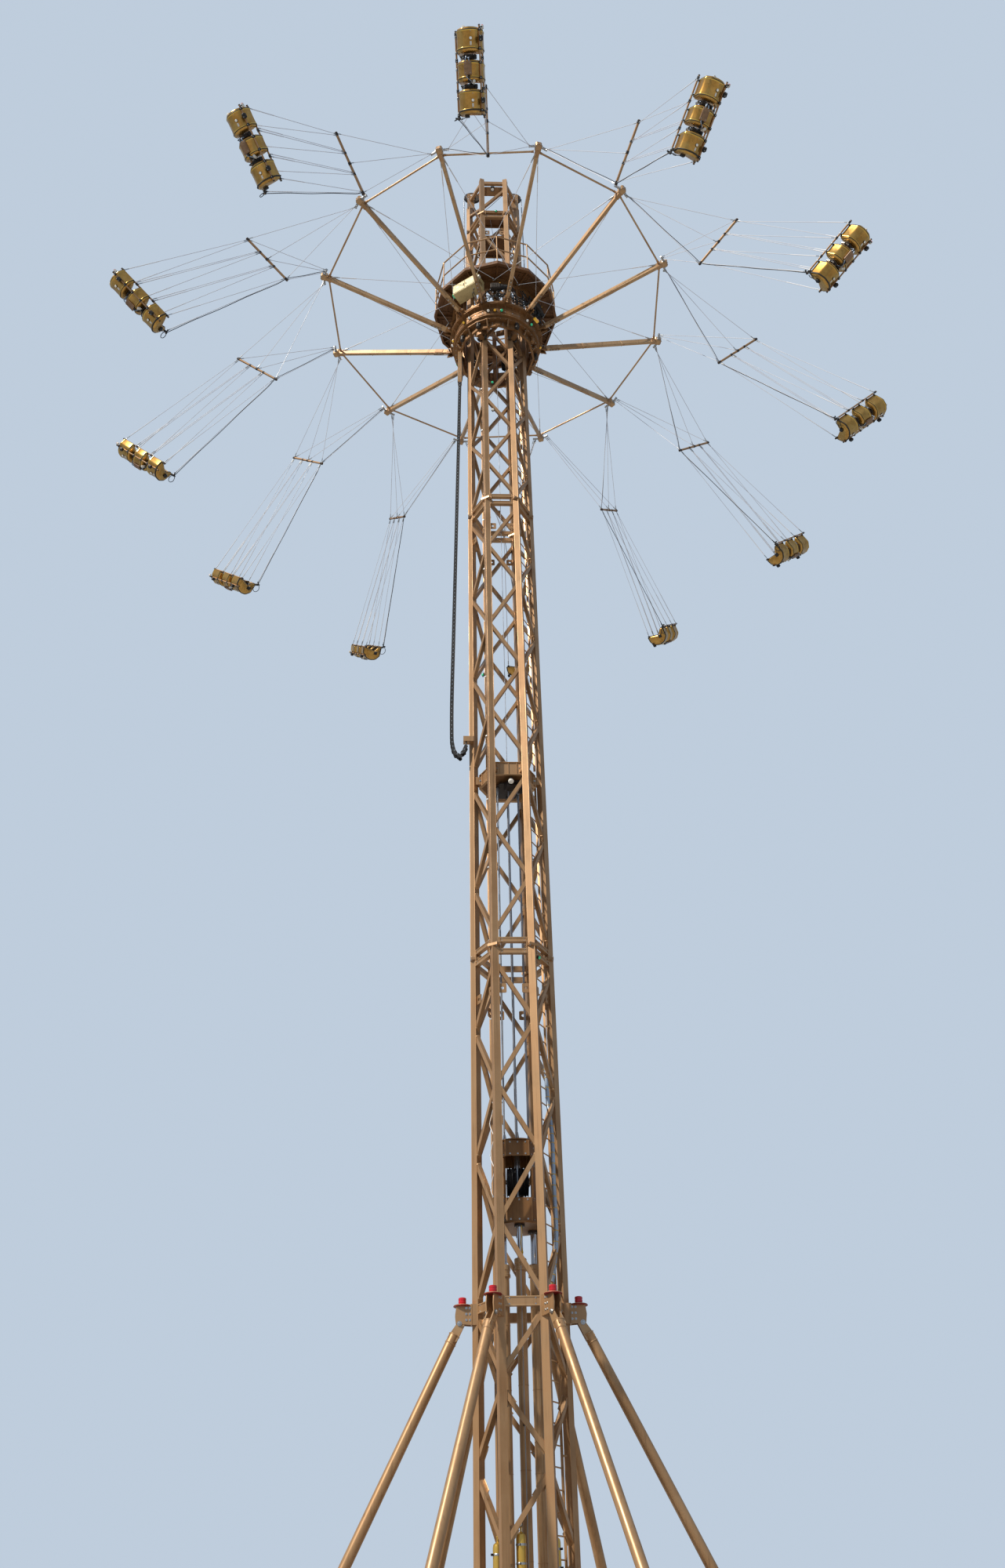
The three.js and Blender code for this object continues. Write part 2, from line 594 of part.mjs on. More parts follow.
// The carriage is a short cage of rings on six posts, which hangs from two rope lugs
function carriageFrame() {
  const bore = CARRIAGE_BORE / FLAT;
  const cageRadius = 990;
  const postRadius = 930;
  const sleeveRadius = 960;
  const seatRing = { bottom: RING_BOTTOM - 70, top: RING_BOTTOM - GAP, outer: 1050 };
  const deckSeat = DECK_TOP - DECK_SHEET - GAP;
  const topRingBottom = CARRIAGE_LUG_TOP - 140;
  const solids = [
    ring(bore, sleeveRadius, CARRIAGE_BOTTOM, seatRing.bottom + 10, 12),
    ring(bore, seatRing.outer, seatRing.bottom, seatRing.top, 24),
    ring(bore, 1140, deckSeat - 90, deckSeat, 12),
    ring(bore, cageRadius, topRingBottom, CARRIAGE_LUG_TOP, 12),
  ];
  for (let i = 0; i < 6; i += 1) {
    const angle = faceAngle(i);
    const foot = polar(angle, postRadius, CARRIAGE_BOTTOM + 20);
    const head = polar(angle, postRadius, CARRIAGE_LUG_TOP - 20);
    solids.push(beam(foot, head, outward(angle), 60, 110));
  }
  // Tapered plates spread the load of the slewing ring to the sleeve under it
  const taper = [[0, -175], [48, -175], [135, -20], [135, 10], [0, 10]];
  for (let i = 0; i < 12; i += 1) {
    const angle = (i + 0.5) * ARM_STEP;
    solids.push(plate(taper, 24, polar(angle, CARRIAGE_BORE + 30, seatRing.bottom), outward(angle), UP));
  }
  // The rope lugs are narrow, so that the left one passes the chain bracket on its way down
  const lug = { inner: OUTSIDE_ROPE_RADIUS - 30, outer: 1000, width: 46, shift: 5, tall: 140 };
  for (const side of [-1, 1]) {
    const geometry = new THREE.BoxGeometry(lug.outer - lug.inner, lug.width, lug.tall);
    geometry.translate((side * (lug.outer + lug.inner)) / 2, lug.shift, CARRIAGE_LUG_TOP - lug.tall / 2);
    solids.push(solid(geometry));
  }
  // Guide shoes run along the outer edges of four posts
  const shoe = { inner: TOWER_RADIUS + POST_REACH + GAP, outer: CARRIAGE_BORE + 40, width: 110 };
  const shoeMiddle = (shoe.inner + shoe.outer) / 2;
  const shoeHeights = [
    [CARRIAGE_BOTTOM - 140, CARRIAGE_BOTTOM + 60],
    [CARRIAGE_LUG_TOP - 135, CARRIAGE_LUG_TOP - 5],
  ];
  for (const i of [1, 2, 4, 5]) {
    for (const [low, high] of shoeHeights) {
      const height = (low + high) / 2;
      solids.push(block(postAngle(i), shoeMiddle, height, shoe.outer - shoe.inner, shoe.width, high - low));
    }
  }
  // The energy chain is fixed to a hanger below the sleeve
  const hangerTop = CARRIAGE_BOTTOM + 60;
  const chainHanger = new THREE.BoxGeometry(CHAIN_DEPTH + 10, CHAIN_WIDTH, hangerTop - CHAIN_TOP);
  solids.push(solid(chainHanger.translate(-930, CHAIN_OFFSET, (hangerTop + CHAIN_TOP) / 2)));
  return unite(solids);
}

// Half way between two arms
function chordMiddle(k) {
  return FIRST_ARM + (k + 0.5) * ARM_STEP;
}

// The rotor: a slewing ring with a fork for each arm, and a crown on twelve posts for the stays
function slewRing() {
  const earOutline = [[-95, -105], [110, -105], [48, 88], [-38, 88]];
  const earOffset = FORK_GAP / 2 + FORK_EAR / 2;
  const flangeBottom = RING_TOP - 80;
  const crownHalf = 35;
  const crownPost = 60;
  const lug = { deep: 90, width: 24, tall: 90 };
  const solids = [
    ring(990, 1090, RING_BOTTOM, flangeBottom + 10, 24),
    ring(990, 1180, flangeBottom, RING_TOP, 24),
    ring(CROWN_RADIUS - crownHalf, CROWN_RADIUS + crownHalf, CROWN_BOTTOM, CROWN_TOP, 24),
  ];
  for (let k = 0; k < ARM_COUNT; k += 1) {
    const angle = FIRST_ARM + k * ARM_STEP;
    const across = new THREE.Vector3(Math.cos(angle), Math.sin(angle), 0);
    for (const side of [-1, 1]) {
      const origin = polar(angle, ROOT_RADIUS - 30, ROOT_HEIGHT - 20).addScaledVector(across, side * earOffset);
      solids.push(plate(earOutline, FORK_EAR, origin, outward(angle), UP));
    }
    const middle = (RING_TOP + CROWN_BOTTOM) / 2;
    const tall = CROWN_BOTTOM - RING_TOP + 40;
    solids.push(block(chordMiddle(k), CROWN_RADIUS, middle, crownPost, crownPost, tall));
    const lugMiddle = CROWN_RADIUS + crownHalf + lug.deep / 2 - 20;
    solids.push(block(chordMiddle(k), lugMiddle, (CROWN_BOTTOM + CROWN_TOP) / 2, lug.deep, lug.width, lug.tall));
  }
  return unite(solids);
}

function workPlatform() {
  const under = DECK_TOP - DECK_SHEET;
  const skirt = { width: 60, bottom: DECK_TOP - 110, top: DECK_TOP - 10 };
  const rib = { inner: 1140, outer: DECK_RADIUS - 40, height: under - 30, tall: 70, width: 30 };
  const solids = [
    ring(1010, DECK_RADIUS, under, DECK_TOP, 12),
    ring(DECK_RADIUS - skirt.width, DECK_RADIUS, skirt.bottom, skirt.top, 12),
  ];
  for (let i = 0; i < 12; i += 1) {
    const angle = i * ARM_STEP;
    const ribFoot = polar(angle, rib.inner, rib.height);
    solids.push(beam(ribFoot, polar(angle, rib.outer, rib.height), UP, rib.tall, rib.width));
  }
  return unite(solids);
}

function platformRailing() {
  const outer = DECK_RADIUS - 20;
  const post = RAIL_TUBE - 8;
  const postTall = RAIL_HEIGHT - RAIL_TUBE / 2;
  const postRadius = outer - RAIL_TUBE / 2 - 2;
  const solids = [];
  for (const height of [RAIL_HEIGHT / 2, RAIL_HEIGHT]) {
    solids.push(ring(outer - RAIL_TUBE, outer, DECK_TOP + height - RAIL_TUBE, DECK_TOP + height, 12));
  }
  for (let i = 0; i < 12; i += 1) {
    solids.push(block(i * ARM_STEP, postRadius, DECK_TOP + GAP + postTall / 2, post, post, postTall));
  }
  return unite(solids);
}

// The cabinet rides on the rotor, on a crown post between two arms
function controlCabinet() {
  const size = { deep: 330, wide: 720, tall: 330 };
  const inner = CROWN_RADIUS + 30 + GAP;
  const top = CROWN_BOTTOM - 15;
  return block(chordMiddle(-1), inner + size.deep / 2, top - size.tall / 2, size.deep, size.wide, size.tall);
}

// Arms
function tipPoint(k, radius = TIP_RADIUS) {
  return polar(FIRST_ARM + k * ARM_STEP, radius, TIP_HEIGHT);
}

// A stay pulls from an arm's head to a crown lug, past the next arm on that side
function stay(k, side) {
  const angle = FIRST_ARM + k * ARM_STEP;
  const height = (CROWN_BOTTOM + CROWN_TOP) / 2 + side * STAY_SPREAD;
  const anchor = polar(angle + side * STAY_TURN, CROWN_RADIUS + 111, height);
  return beam(tipPoint(k, TIP_RADIUS - 20), anchor, UP, STAY, STAY);
}

// An arm with its head, two cable pins, its tie to the next arm and its stays
function arm(k) {
  const angle = FIRST_ARM + k * ARM_STEP;
  const root = polar(angle, ROOT_RADIUS - 20, ROOT_HEIGHT);
  const tip = tipPoint(k);
  const solids = [
    beam(root, tip, UP, ARM_TALL, ARM_WIDTH),
    block(angle, TIP_RADIUS + 20, TIP_HEIGHT, ARM_HEAD, ARM_HEAD - 20, ARM_HEAD),
    stay(k, -1),
    stay(k, 1),
  ];
  for (const next of [-1, 1]) {
    const pin = tipPoint(k, HINGE_RADIUS);
    const pinEnd = towards(pin, tipPoint(k + next, HINGE_RADIUS), HEAD_PIN_END);
    solids.push(rod(pin, pinEnd, HEAD_PIN, 8));
  }
  const tieRadius = TIP_RADIUS - 90;
  const tieFrom = tipPoint(k, tieRadius);
  const tieTo = tipPoint(k + 1, tieRadius);
  solids.push(rod(towards(tieFrom, tieTo, 10), towards(tieTo, tieFrom, 74), TIE_TUBE, 6));
  return unite(solids);
}

// Hangers: the frame of a gondola is set out from its cable pins
function hangerFrame(k) {
  const angle = chordMiddle(k);
  const pivot = polar(angle, HINGE_RADIUS * Math.cos(ARM_STEP / 2), TIP_HEIGHT);
  const forward = new THREE.Vector3(Math.cos(angle), Math.sin(angle), 0);
  const out = outward(angle);
  const down = out.clone().multiplyScalar(Math.sin(SWING_ANGLE)).addScaledVector(UP, -Math.cos(SWING_ANGLE));
  const along = out.clone().multiplyScalar(Math.cos(SWING_ANGLE)).addScaledVector(UP, Math.sin(SWING_ANGLE));
  const barMiddle = pivot.clone().addScaledVector(down, BAR_DROP);
  const lagDown = down.clone().applyAxisAngle(along, -LAG_ANGLE);
  const lagForward = forward.clone().applyAxisAngle(along, -LAG_ANGLE);
  const railMiddle = barMiddle.clone().addScaledVector(lagDown, RAIL_DROP - BAR_DROP);
  return { pivot, forward, down, along, barMiddle, lagDown, lagForward, railMiddle };
}

// A point in a gondola's own frame: along the bar, forward and up from the rails' middle
function seatPoint(frame, u, v, w) {
  return frame.railMiddle.clone()
    .addScaledVector(frame.along, u)
    .addScaledVector(frame.lagForward, v)
    .addScaledVector(frame.lagDown, -w);
}

// Three cables run from each hub to the spreader bar, and four pairs from the bar to the gondola
function hanger(k) {
  const frame = hangerFrame(k);
  const barPoint = (u) => frame.barMiddle.clone().addScaledVector(frame.along, u);
  const barEnd = BAR_LENGTH / 2;
  const railEnd = RAIL_LENGTH / 2 - 60;
  const solids = [beam(barPoint(-barEnd), barPoint(barEnd), frame.down, BAR_TUBE, BAR_TUBE)];

  const halfChord = HINGE_RADIUS * Math.sin(ARM_STEP / 2);
  const reach = halfChord - HEAD_PIN_END - GAP;
  for (const side of [-1, 1]) {
    const hubPoint = (inset) => frame.pivot.clone().addScaledVector(frame.forward, side * (reach - inset));
    solids.push(beam(hubPoint(0), hubPoint(HUB_LENGTH), frame.down, HUB_TUBE, HUB_TUBE));
    [-barEnd + 40, 0, barEnd - 40].forEach((u, n) => {
      const foot = barPoint(u + side * CABLE);
      solids.push(beam(hubPoint(20 + 35 * n), foot, frame.along, CABLE, CABLE));
    });
  }

  const barSpots = [-barEnd + 60, -BAR_LENGTH / 6, BAR_LENGTH / 6, barEnd - 60];
  const railSpots = [-railEnd, -SEAT_PITCH / 2, SEAT_PITCH / 2, railEnd];
  const railTop = RAIL_TUBE / 2 + 5 * GAP;
  barSpots.forEach((u, n) => {
    for (const [rail, shift] of [[BACK_RAIL, -CABLE], [FRONT_RAIL, CABLE]]) {
      const foot = seatPoint(frame, railSpots[n], rail.x, rail.y + railTop);
      solids.push(beam(barPoint(u + shift), foot, frame.along, CABLE, CABLE));
    }
  });
  return unite(solids);
}

// Gondolas: three bucket seats between a back rail and a front rail, on a lower rail
function tub(frame, u, width) {
  const origin = frame.railMiddle.clone().addScaledVector(frame.along, u);
  const up = frame.lagDown.clone().negate();
  const body = plate(TUB_OUTLINE, width, origin, frame.lagForward, up);
  const hollow = plate(TUB_HOLLOW, width - 2 * TUB_SIDE, origin, frame.lagForward, up);
  return body.subtract(hollow);
}

function gondola(k) {
  const frame = hangerFrame(k);
  const bracket = { width: 200, thickness: 24, foot: new THREE.Vector2(-175, -60) };
  const solids = [];
  for (const rail of [BACK_RAIL, FRONT_RAIL, LOWER_RAIL]) {
    const from = seatPoint(frame, -RAIL_LENGTH / 2, rail.x, rail.y);
    const to = seatPoint(frame, RAIL_LENGTH / 2, rail.x, rail.y);
    solids.push(beam(from, to, frame.lagForward, RAIL_TUBE, RAIL_TUBE));
  }
  SEAT_WIDTHS.forEach((width, n) => {
    const u = (n - 1) * SEAT_PITCH;
    const railPoint = seatPoint(frame, u, BACK_RAIL.x, BACK_RAIL.y);
    const tubPoint = seatPoint(frame, u, bracket.foot.x, bracket.foot.y);
    solids.push(tub(frame, u, width));
    solids.push(beam(railPoint, tubPoint, frame.along, bracket.width, bracket.thickness));
  });
  return unite(solids);
}

addNode('base_frame', baseFrame(), bronzePaint);
addNode('tower_section_lower', towerSectionLower(), bronzePaint);
addNode('tower_section_middle', towerSectionMiddle(), bronzePaint);
addNode('tower_section_upper', towerSectionUpper(), bronzePaint);
addNode('tower_head', towerHead(), bronzePaint);
for (let i = 0; i < 6; i += 1) {
  addNode(`strut_${i + 1}`, strut(i), bronzePaint);
}
addNode('lift_cylinders', liftCylinders(), darkBronze);
addNode('hoist_block', hoistBlock(), blackPlastic);
addNode('hoist_falls', hoistFalls(), cableSteel);
addNode('pulley_deck', pulleyDeck(), bronzePaint);
addNode('energy_chain', energyChain(), blackPlastic);
addNode('carriage_frame', carriageFrame(), darkBronze);
addNode('slew_ring', slewRing(), darkBronze);
addNode('work_platform', workPlatform(), darkBronze);
addNode('platform_railing', platformRailing(), bronzePaint);
addNode('control_cabinet', controlCabinet(), cabinetPaint);
for (const [name, side] of [['left', -1], ['right', 1]]) {
  addNode(`carriage_rope_${name}`, carriageRope(side), cableSteel);
}
for (let k = 0; k < ARM_COUNT; k += 1) {
  addNode(`arm_${k + 1}`, arm(k), bronzePaint);
}
for (let k = 0; k < ARM_COUNT; k += 1) {
  addNode(`hanger_${k + 1}`, hanger(k), cableSteel);
  addNode(`gondola_${k + 1}`, gondola(k), seatGold);
}

export default ride;
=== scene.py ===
# %% [markdown]
# # Chair swing tower ride: the looks
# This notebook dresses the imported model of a 36 m swing ride. The model gives every place and size, so each
# step here adds a finish to a node, or builds a finer piece where the node is plain. All lengths are metres.
# The origin is the tower's axis at ground level, +Z is up, and angles are counted from the tower's front.

# %% Load the frame
from math import cos, pi, radians, sin, sqrt, tan
import random

import bmesh
import bpy
from mathutils import Matrix, Vector


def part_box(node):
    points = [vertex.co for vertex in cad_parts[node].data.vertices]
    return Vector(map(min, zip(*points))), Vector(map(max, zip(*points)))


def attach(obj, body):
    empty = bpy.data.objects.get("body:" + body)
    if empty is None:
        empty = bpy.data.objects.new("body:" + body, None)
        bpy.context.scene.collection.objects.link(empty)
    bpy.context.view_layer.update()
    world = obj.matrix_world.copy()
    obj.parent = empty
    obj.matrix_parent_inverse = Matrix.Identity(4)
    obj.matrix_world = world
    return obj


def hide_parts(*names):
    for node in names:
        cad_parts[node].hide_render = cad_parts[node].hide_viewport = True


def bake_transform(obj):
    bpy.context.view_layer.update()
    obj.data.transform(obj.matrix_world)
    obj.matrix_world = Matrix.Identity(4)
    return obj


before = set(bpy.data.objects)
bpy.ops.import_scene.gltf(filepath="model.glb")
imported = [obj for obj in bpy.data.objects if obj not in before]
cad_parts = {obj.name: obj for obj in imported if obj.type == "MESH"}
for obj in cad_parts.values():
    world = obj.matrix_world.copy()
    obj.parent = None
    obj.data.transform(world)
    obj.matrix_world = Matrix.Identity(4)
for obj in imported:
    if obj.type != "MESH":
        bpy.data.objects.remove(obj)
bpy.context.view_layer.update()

# %% [markdown]
# ## Directions
# Right, back and up are the directions of the part's own frame. The front is the side that the camera sees.

# %% Directions and short helpers
RIGHT, BACK, UP = Vector((1, 0, 0)), Vector((0, 1, 0)), Vector((0, 0, 1))
LEVEL = (RIGHT, BACK, UP)
SIDES = (-1, 1)


def xyz(x, y, z):
    return Vector((x, y, z))


def unit(vector):
    return vector.normalized()


def give(tree, node, **inputs):
    """Sets inputs by name, to a value or to another node's output. An underscore stands for a space."""
    for label, value in inputs.items():
        socket = node.inputs[label.replace("_", " ")]
        if isinstance(value, bpy.types.NodeSocket):
            tree.links.new(value, socket)
        else:
            socket.default_value = value
    return node


def new_node(tree, kind, **inputs):
    return give(tree, tree.nodes.new("ShaderNode" + kind), **inputs)


def show(thing):
    bpy.context.scene.collection.objects.link(thing)


print("right", *RIGHT, "back", *BACK, "up", *UP)

# %% [markdown]
# ## Camera
# The photograph was taken from head height, close to the ride, with the lens tilted up 34 degrees. A picture
# like this is matched by fitting a pinhole camera to points whose places are known: here the arm tips and
# the joints of the tower sections. The fit gave the place, the tilt, a small roll and the focal length.

# %% The fitted camera
IMAGE = (1282, 2000)
FOCAL_PIXELS = 1629.8
CAMERA_PLACE = xyz(-1.055, -20.553, 1.6)
LOOK_ACROSS = xyz(0.0466, 0.9989, 0).normalized()
PITCH = radians(34.449)
ROLL = radians(1.304)

look = LOOK_ACROSS * cos(PITCH) + UP * sin(PITCH)
level_right = look.cross(UP).normalized()
level_up = level_right.cross(look)
right = level_right * cos(ROLL) - level_up * sin(ROLL)
above = level_right * sin(ROLL) + level_up * cos(ROLL)
turn = Matrix((right, above, -look)).transposed().to_4x4()

lens = bpy.data.cameras.new("photo_lens")
lens.sensor_fit = "VERTICAL"
lens.sensor_height = 36
lens.sensor_width = 36 * IMAGE[0] / IMAGE[1]
lens.lens = FOCAL_PIXELS * 36 / IMAGE[1]
lens.clip_end = 500
camera = bpy.data.objects.new("photo_camera", lens)
camera.matrix_world = Matrix.Translation(CAMERA_PLACE) @ turn
show(camera)
bpy.context.scene.camera = camera
print("lens", round(lens.lens, 2), "mm")

# %% [markdown]
# ## Light and floor
# The ride stands in the open, so the light is one soft sun from the left and a plain pale surround. The
# floor is pale too, and throws light back up on the undersides, which are most of what the camera sees.

# %% Surround, sun and floor
def principled(material):
    return next(node for node in material.node_tree.nodes if node.type == "BSDF_PRINCIPLED")


world = bpy.data.worlds.new("pale_surround")
world.use_nodes = True
tree = world.node_tree
light = next(node for node in tree.nodes if node.type == "BACKGROUND")
give(tree, light, Color=(0.50, 0.60, 0.74, 1), Strength=0.55)
backdrop = new_node(tree, "Background", Color=(0.52, 0.61, 0.72, 1))
seen = new_node(tree, "LightPath")
choice = new_node(tree, "MixShader")
tree.links.new(seen.outputs["Is Camera Ray"], choice.inputs[0])
tree.links.new(light.outputs[0], choice.inputs[1])
tree.links.new(backdrop.outputs[0], choice.inputs[2])
ending = next(node for node in tree.nodes if node.type == "OUTPUT_WORLD")
tree.links.new(choice.outputs[0], ending.inputs["Surface"])
bpy.context.scene.world = world
bpy.context.scene.view_settings.view_transform = "Standard"

sun = bpy.data.lights.new("soft_sun", "SUN")
sun.energy = 4.0
sun.angle = radians(3)
sun.color = (1.0, 0.93, 0.82)
sun_object = bpy.data.objects.new("soft_sun", sun)
sun_object.rotation_euler = xyz(-0.62, -0.50, 0.72).to_track_quat("Z", "Y").to_euler()
show(sun_object)

FLOOR_HALF = 60
floor_mesh = bpy.data.meshes.new("pale_floor")
corners = [(x * FLOOR_HALF, y * FLOOR_HALF, -0.002) for x, y in ((-1, -1), (1, -1), (1, 1), (-1, 1))]
floor_mesh.from_pydata(corners, [], [(0, 1, 2, 3)])
floor = bpy.data.objects.new("pale_floor", floor_mesh)
show(floor)
floor_paint = bpy.data.materials.new("pale_floor")
floor_paint.use_nodes = True
give(floor_paint.node_tree, principled(floor_paint), Base_Color=(0.40, 0.385, 0.36, 1), Roughness=0.85)
floor_mesh.materials.append(floor_paint)
print("sun", sun.energy, "floor", 2 * FLOOR_HALF, "m")

# %% [markdown]
# ## Finishes
# Painted steel that has stood outside is never one colour: it fades in soft patches, rain draws streaks
# down it, dust settles, and the spray leaves a fine grain. Each of these is a small group of nodes that
# several paints share. A group gives a mask or a height, and the paint decides what to do with it.

# %% Node groups that the paints share
SPRAY_GRAIN = 260.0       # grains in a metre


def spread(tree, low, high, source, out_low=0.0, out_high=1.0):
    """Stretches the part of a mask between low and high over its whole range."""
    limits = {"From_Min": low, "From_Max": high, "To_Min": out_low, "To_Max": out_high}
    return new_node(tree, "MapRange", Value=source, **limits).outputs["Result"]


def noise(tree, vector, scale, detail):
    return new_node(tree, "TexNoise", Vector=vector, Scale=scale, Detail=detail, Roughness=0.55).outputs["Fac"]


def product(tree, first, second):
    node = new_node(tree, "Math")
    node.operation = "MULTIPLY"
    tree.links.new(first, node.inputs[0])
    tree.links.new(second, node.inputs[1])
    return node.outputs["Value"]


def object_place(tree, stretch=(1, 1, 1)):
    """The place on the object, in metres, stretched so that a noise can run long in one direction."""
    coordinates = new_node(tree, "TexCoord").outputs["Object"]
    return new_node(tree, "Mapping", Vector=coordinates, Scale=stretch).outputs["Vector"]


def patch_mask(tree, scale):
    return spread(tree, 0.36, 0.66, noise(tree, object_place(tree), scale, 4))


def streak_mask(tree, scale):
    long_noise = noise(tree, object_place(tree, (1, 1, 0.045)), scale, 3)
    broken = noise(tree, object_place(tree), 2.2, 2)
    return product(tree, spread(tree, 0.52, 0.72, long_noise), spread(tree, 0.35, 0.65, broken))


def grain_height(tree, scale):
    return noise(tree, object_place(tree), scale, 2)


def dust_mask(tree, scale):
    """Dust lies where a surface looks up."""
    split = new_node(tree, "SeparateXYZ", Vector=new_node(tree, "NewGeometry").outputs["Normal"])
    cloud = noise(tree, object_place(tree), scale, 4)
    return product(tree, spread(tree, 0.25, 1.0, split.outputs["Z"]), spread(tree, 0.3, 0.7, cloud))


def strand_height(tree, scale):
    """The lay of a wire rope: fine bands that cross it at a slant."""
    wave = new_node(tree, "TexWave", Vector=object_place(tree), Scale=scale, Distortion=0.6)
    wave.bands_direction = "DIAGONAL"
    return wave.outputs["Fac"]


def new_group(name, scale, output, build):
    """A group of nodes with one input, the scale, and one output, which build gives."""
    group = bpy.data.node_groups.new(name, "ShaderNodeTree")
    socket = group.interface.new_socket("Scale", in_out="INPUT", socket_type="NodeSocketFloat")
    socket.default_value = scale
    group.interface.new_socket(output, in_out="OUTPUT", socket_type="NodeSocketFloat")
    entry, leave = group.nodes.new("NodeGroupInput"), group.nodes.new("NodeGroupOutput")
    group.links.new(build(group, entry.outputs["Scale"]), leave.inputs[output])
    return group


GROUPS = {
    "patches": new_group("faded_patches", 1.4, "Mask", patch_mask),
    "streaks": new_group("rain_streaks", 22.0, "Mask", streak_mask),
    "grain": new_group("spray_grain", SPRAY_GRAIN, "Height", grain_height),
    "dust": new_group("settled_dust", 7.0, "Mask", dust_mask),
    "strands": new_group("rope_lay", 90.0, "Height", strand_height),
}
print("groups", sorted(GROUPS))

# %% [markdown]
# A finish is a base colour, a second colour that the patches blend in, a darker streak and a dust colour.
# The roughness follows the same patches, because faded paint is duller. The bump is the spray grain, or
# the lay of the strands on a rope.

# %% The finish maker
STREAK_SHARE, DUST_SHARE = 0.55, 0.45
COAT_ROUGHNESS = 0.12
BUMP_DEPTH = 0.002


def group_node(tree, key, **inputs):
    node = new_node(tree, "Group")
    node.node_tree = GROUPS[key]
    return give(tree, node, **inputs)


def blend_colour(tree, factor, first, second, amount=1.0):
    """Mixes the second colour over the first by a mask."""
    node = new_node(tree, "Mix", Factor=spread(tree, 0.0, 1.0, factor, 0.0, amount))
    node.data_type = "RGBA"
    for socket, value in ((node.inputs[6], first), (node.inputs[7], second)):
        if isinstance(value, tuple):
            socket.default_value = (*value, 1)
        else:
            tree.links.new(value, socket)
    return node.outputs[2]


def linear(colour):
    """A colour as a screen shows it, turned into the renderer's linear numbers."""
    return tuple(((v / 255 + 0.055) / 1.055) ** 2.4 if v > 10 else v / 255 / 12.92 for v in colour)


def finish(name, colour, faded, rough, metallic, bump, streak=None, dust=None, patch=1.4, coat=0.0,
           glow=0.0, strands=0.0):
    material = bpy.data.materials.new(name)
    material.use_nodes = True
    tree = material.node_tree
    shader = principled(material)
    mask = group_node(tree, "patches", Scale=patch).outputs["Mask"]
    tint = blend_colour(tree, mask, linear(colour), linear(faded))
    if streak:
        tint = blend_colour(tree, group_node(tree, "streaks").outputs["Mask"], tint, linear(streak), STREAK_SHARE)
    if dust:
        tint = blend_colour(tree, group_node(tree, "dust").outputs["Mask"], tint, linear(dust), DUST_SHARE)
    if glow:
        give(tree, shader, Emission_Color=tint, Emission_Strength=glow)
    texture = group_node(tree, "strands" if strands else "grain", Scale=strands or SPRAY_GRAIN)
    relief = new_node(tree, "Bump", Strength=bump, Distance=BUMP_DEPTH, Height=texture.outputs["Height"])
    give(tree, shader, Base_Color=tint, Roughness=spread(tree, 0.0, 1.0, mask, *rough), Metallic=metallic,
         Coat_Weight=coat, Coat_Roughness=COAT_ROUGHNESS, Normal=relief.outputs["Normal"])
    return material


